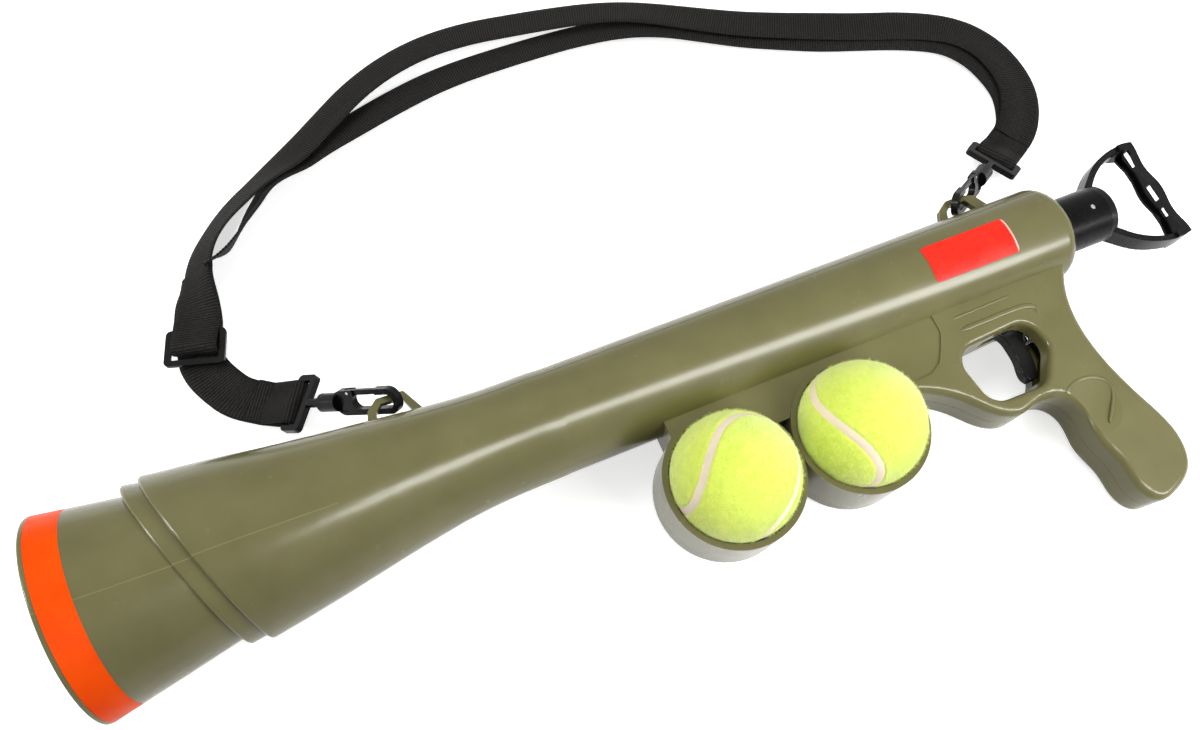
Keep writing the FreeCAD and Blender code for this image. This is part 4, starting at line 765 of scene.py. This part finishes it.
balls = {
    # by body: the middle on the launcher, and the turn that its seam has been given
    "centres": {"ball_1": (304, -62.8, 13.5), "ball_2": (376, -62.8, 13.5)},
    "turns": {"ball_1": (0.5613, 0.0988, -0.6528, 0.499), "ball_2": (0.2235, 0.3211, -0.4237, 0.817)},
    "radius": 32.5,
    "fineness": 6,                  # how often the skin's mesh is divided
    "tufts": ((22, 0.2), (70, 0.13)),     # how close and how high, broad ones and fine ones
}
ballSeam = {
    "swing": 0.2,                   # how far it swings from side to side
    "steps": 720,                   # divisions along it and across it
    "across": 6,
    "half": 2.5,
    "depth": 0.7,
    "steep": 3,                     # how steeply the felt falls into it
    "lip": 0.22,                    # raised felt along it, with its middle and width in half widths
    "lipAt": 1.35,
    "lipWidth": 0.3,
    "sunk": 0.08,                   # below the ball's radius, in the middle and how much more at its edges
    "hollow": 0.3,
}
ballFibres = {
    "count": 9000,
    "length": (0.9, 2.3),
    "width": 0.085,
    "bend": (0.35, 1.5),
    "root": 0.2,                    # how deep they start
    "clear": 0.9,                   # none grows nearer to the seam than this share of its half width
    "knee": 0.55,                   # share of the length below the bend, and how much of the bend that takes
    "kneeBend": 0.6,
    "kneeWidth": 0.8,
    "tipRise": 0.5,
}
ballRadius = balls["radius"] * mm
seamHalf = ballSeam["half"] * mm


def seamDirections(turn):
    swing = ballSeam["swing"]
    rest = 1 - swing
    found = []
    for number in range(ballSeam["steps"]):
        t = 2 * math.pi * number / ballSeam["steps"]
        point = Vector((rest * math.cos(t) + swing * math.cos(3 * t),
                        rest * math.sin(t) - swing * math.sin(3 * t),
                        2 * math.sqrt(rest * swing) * math.sin(2 * t)))
        found.append(turn @ point)
    return found


def seamFinder(seam):
    finder = kdtree.KDTree(len(seam))
    for number, direction in enumerate(seam):
        finder.insert(direction, number)
    finder.balance()
    return finder


def feltSkin(body, seed, centre, finder):
    (broad, broadHigh), (fine, fineHigh) = balls["tufts"]
    form = bmesh.new()
    bmesh.ops.create_icosphere(form, subdivisions=balls["fineness"], radius=1.0)
    for vertex in form.verts:
        direction = vertex.co.normalized()
        away = finder.find(direction)[2] * ballRadius
        groove = max(0.0, 1 - away / seamHalf)
        lip = math.exp(-((away / seamHalf - ballSeam["lipAt"]) / ballSeam["lipWidth"]) ** 2) * ballSeam["lip"]
        tufts = noise.noise(direction * broad + Vector((seed, 0, 0))) * broadHigh
        tufts += noise.noise(direction * fine) * fineHigh
        sunk = ballSeam["depth"] * min(1.0, groove * ballSeam["steep"])
        vertex.co = centre + direction * (ballRadius + (tufts + lip - sunk) * mm)
    mesh = bpy.data.meshes.new(body + "FeltSkin")
    form.to_mesh(mesh)
    form.free()
    return linkPiece(body + "FeltSkin", mesh, finishes["felt"])


def seamStrip(body, centre, seam):
    # The rubber seam between the two felt panels
    across = ballSeam["across"]
    row = across + 1
    points = []
    faces = []
    for number, direction in enumerate(seam):
        following = (number + 1) % len(seam)
        side = direction.cross((seam[following] - seam[number - 1]).normalized()).normalized()
        for step in range(row):
            v = -1 + 2 * step / across
            spot = direction * ballRadius + side * v * seamHalf
            sunk = (ballSeam["sunk"] + ballSeam["hollow"] * v * v) * mm
            points.append(centre + spot.normalized() * (ballRadius - sunk))
        for step in range(across):
            faces.append((number * row + step, following * row + step,
                          following * row + step + 1, number * row + step + 1))
    return meshPiece(body + "Seam", points, faces, finishes["seam"])


def feltFibres(body, seed, centre, finder):
    # Short flat fibres that stand out of the felt, each bent once
    look = ballFibres
    draw = random.Random(seed)
    points = []
    faces = []
    while len(faces) < 3 * look["count"]:
        direction = Vector((draw.gauss(0, 1), draw.gauss(0, 1), draw.gauss(0, 1))).normalized()
        lean = Vector((draw.gauss(0, 1), draw.gauss(0, 1), draw.gauss(0, 1)))
        lean = (lean - direction * lean.dot(direction)).normalized()
        bend = draw.uniform(*look["bend"])
        length = draw.uniform(*look["length"]) * mm
        if finder.find(direction)[2] * ballRadius < seamHalf * look["clear"]:
            continue
        side = direction.cross(lean) * look["width"] * mm
        root = centre + direction * (ballRadius - look["root"] * mm)
        knee = root + (direction + lean * bend * look["kneeBend"]).normalized() * length * look["knee"]
        tip = knee + (direction * look["tipRise"] + lean * bend).normalized() * length * (1 - look["knee"])
        kneeSide = side * look["kneeWidth"]
        start = len(points)
        points += [root - side, root + side, knee + kneeSide, knee - kneeSide, tip]
        faces += [(start, start + 1, start + 2), (start, start + 2, start + 3),
                  (start + 3, start + 2, start + 4)]
    return meshPiece(body + "Fibres", points, faces, finishes["fibre"], False)


def makeBall(body, seed):
    centre = fromLauncher(*balls["centres"][body])
    seam = seamDirections(launcherFrame.to_quaternion() @ Quaternion(balls["turns"][body]))
    finder = seamFinder(seam)
    skin = feltSkin(body, seed, centre, finder)
    for made in (skin, seamStrip(body, centre, seam), feltFibres(body, seed, centre, finder)):
        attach(made, body)
    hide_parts(body + "_felt")


for seed, body in enumerate(balls["centres"], start=1):
    makeBall(body, seed)
print("balls made")


# Raised edges on the flat side of the housing: points along them on the launcher, the height of the surface
# that they lie on, their half width and their rise

beads = {
    "guardBead": {"path": ((451.5, -37.3), (466, -37.2), (482, -37.0), (494, -37.6), (499.5, -41.5),
                           (496.5, -46.5)),
                  "surface": 14.0, "half": 1.5, "rise": 0.85},
    "upperBead": {"path": ((451.5, -29.8), (470, -29.5), (488, -29.3)),
                  "surface": 14.0, "half": 0.7, "rise": 0.35},
    "gripBead": {"path": ((486.5, -88.6), (494.5, -84.6), (504.5, -85.6), (512, -90.5), (511.5, -98),
                          (505, -106), (499.5, -111.5)),
                 "surface": 13.9, "half": 1.0, "rise": 0.5},
}
beadForm = {
    "step": 0.5,                    # from one ring of the mesh to the next
    "arc": 8,                       # divisions over the top
    "sunk": 0.7,                    # how far the edges reach into the surface
    "taper": 3,                     # the ends narrow over this many half widths, down to thin
    "thin": 0.05,
}


def makeBead(name):
    look = beads[name]
    line = evenLine(splineLine([Vector((x, y, 0)) for x, y in look["path"]]), beadForm["step"])
    arc = beadForm["arc"]
    points = []
    for number, spot in enumerate(line):
        ahead = courseAt(line, number)
        side = Vector((-ahead.y, ahead.x, 0)).normalized()
        toEnd = min(number, len(line) - 1 - number) * beadForm["step"]
        share = max(beadForm["thin"], min(1.0, toEnd / (beadForm["taper"] * look["half"]))) ** 0.5
        for step in range(arc + 1):
            turn = math.pi * step / arc
            edge = spot + side * math.cos(turn) * look["half"] * share
            height = look["surface"] + look["rise"] * math.sin(turn) * share
            if step in (0, arc):
                height -= beadForm["sunk"]
            points.append(fromLauncher(edge.x, edge.y, height))
    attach(meshPiece(name, points, tubeFaces(len(line), arc + 1), finishes["olive"]), "launcher")


for name in beads:
    makeBead(name)
print("beads made")


# Springs, drawn as coils at their full length; each also gives the seat it would shorten towards as its joint
# presses it, and the share of its length to keep, which this script does not read

springs = {
    "main_spring": {"first": (202.2, 0, 0), "length": 236.1, "radius": 19.6, "wire": 2.8, "turns": 20,
                    "seat": (440, 0, 0), "joint": "plunger_slide", "keep": 0.54},
    "trigger_spring": {"first": (491, -52, 0), "length": 9.4, "radius": 3, "wire": 0.6, "turns": 6,
                       "seat": (501, -52, 0), "joint": "trigger_pull", "keep": 0.64},
}
springForm = {"perTurn": 32, "around": 10}      # divisions of the mesh


def makeSpring(node):
    look = springs[node]
    perTurn, around = springForm["perTurn"], springForm["around"]
    steps = look["turns"] * perTurn
    rise = look["length"] / steps
    points = []
    for number in range(steps + 1):
        angle = 2 * math.pi * number / perTurn
        outward = Vector((0, math.cos(angle), math.sin(angle)))
        forward = Vector((rise * perTurn / (2 * math.pi), -look["radius"] * math.sin(angle),
                          look["radius"] * math.cos(angle))).normalized()
        sideways = forward.cross(outward)
        middle = Vector(look["first"]) + Vector((rise * number, 0, 0)) + outward * look["radius"]
        for step in range(around):
            turn = 2 * math.pi * step / around
            spot = middle + (outward * math.cos(turn) + sideways * math.sin(turn)) * look["wire"] / 2
            points.append(fromLauncher(*spot))
    made = meshPiece(node + "Coil", points, tubeFaces(steps + 1, around), finishes["spring"])
    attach(made, "launcher")
    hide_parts(node)
    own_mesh(made)


for node in springs:
    makeSpring(node)
print("springs made")


# Floor, lights and world

studio = {
    "floorSeen": (0.86, 0.86, 0.86),      # as the camera sees it, and as it lights the launcher
    "floorBounce": (0.2, 0.2, 0.2),
    "floorGlow": 0.65,
    "floorRough": 0.9,
    "floorSize": 12,
    "floorDrop": 0.0002,                  # just below the lowest pieces
    "world": 0.33,
}

# Turn and spread are in degrees; "does" says if a lamp shades surfaces or shows in their gloss
lamps = {
    "frontSoftbox": {"place": (0.7, -0.36, 0.62), "aim": (0.15, 0.0, 0.03), "turn": 0, "size": (0.5, 0.3),
                     "power": 5.0, "spread": 180, "does": "shade"},
    "ridgeSoftbox": {"place": (0.5, -0.62, 0.85), "aim": (0.0, 0.02, 0.06), "turn": -65, "size": (1.2, 0.25),
                     "power": 24.0, "spread": 180, "does": "gloss"},
    "ballSoftbox": {"place": (0.35, -0.6, 0.35), "aim": (0.05, -0.07, 0.04), "turn": 0, "size": (0.3, 0.3),
                    "power": 0.45, "spread": 60, "does": "shade"},
    "collarSoftbox": {"place": (-1.19, 0.38, 0.68), "aim": (-0.23, 0.04, 0.08), "turn": 0,
                      "size": (0.25, 0.5), "power": 14.0, "spread": 180, "does": "gloss"},
    "topSoftbox": {"place": (-0.2, 0.8, 1.4), "aim": (0.0, 0.1, 0.03), "turn": 0, "size": (1.2, 0.9),
                   "power": 13.0, "spread": 180, "does": "shade"},
    "edgeSoftbox": {"place": (-1.2, 0.25, 0.6), "aim": (-0.2, 0.0, 0.04), "turn": 0, "size": (0.7, 0.5),
                    "power": 6.0, "spread": 180, "does": "shade"},
}


def seenRays(tree):
    rays = tree.nodes.new("ShaderNodeLightPath").outputs
    seen = doMath(tree, "MAXIMUM", rays["Is Camera Ray"], rays["Is Glossy Ray"])
    return doMath(tree, "MAXIMUM", seen, rays["Is Transmission Ray"])


def whiteToTheEye(tree, surface, strength):
    # Adds a glow that only the camera and reflections see; the launcher gets just the floor's bounced light
    glow = tree.nodes.new("ShaderNodeEmission")
    glow.inputs["Color"].default_value = (1, 1, 1, 1)
    tree.links.new(doMath(tree, "MULTIPLY", seenRays(tree), strength), glow.inputs["Strength"])
    both = tree.nodes.new("ShaderNodeAddShader")
    tree.links.new(surface, both.inputs[0])
    tree.links.new(glow.outputs[0], both.inputs[1])
    return both.outputs[0]


def makeFloor():
    bpy.ops.mesh.primitive_plane_add(size=studio["floorSize"], location=(0, 0, -studio["floorDrop"]))
    floor = bpy.context.object
    floor.name = "studioFloor"
    material = bpy.data.materials.new("studioFloor")
    material.use_nodes = True
    tree = material.node_tree
    shader = tree.nodes["Principled BSDF"]
    colour = mixColours(tree, seenRays(tree), studio["floorBounce"], studio["floorSeen"])
    tree.links.new(colour, shader.inputs["Base Color"])
    shader.inputs["Roughness"].default_value = studio["floorRough"]
    surface = whiteToTheEye(tree, shader.outputs[0], studio["floorGlow"])
    tree.links.new(surface, tree.nodes["Material Output"].inputs["Surface"])
    floor.data.materials.append(material)


def makeWorld():
    world = bpy.data.worlds.new("studioWorld")
    world.use_nodes = True
    tree = world.node_tree
    background = tree.nodes["Background"]
    background.inputs["Color"].default_value = (1, 1, 1, 1)
    tree.links.new(rangeBetween(tree, seenRays(tree), (studio["world"], 1.0)), background.inputs["Strength"])
    bpy.context.scene.world = world


def makeLamps():
    for name, look in lamps.items():
        data = bpy.data.lights.new(name, "AREA")
        data.shape = "RECTANGLE"
        data.size, data.size_y = look["size"]
        data.energy = look["power"]
        data.spread = math.radians(look["spread"])
        lamp = bpy.data.objects.new(name, data)
        lamp.location = look["place"]
        lamp.visible_diffuse = look["does"] == "shade"
        lamp.visible_glossy = look["does"] == "gloss"
        lamp.rotation_mode = "QUATERNION"
        towards = (Vector(look["aim"]) - Vector(look["place"])).to_track_quat("-Z", "Y")
        lamp.rotation_quaternion = towards @ Quaternion((0, 0, 1), math.radians(look["turn"]))
        bpy.context.scene.collection.objects.link(lamp)


makeFloor()
makeWorld()
makeLamps()
print("studio made")
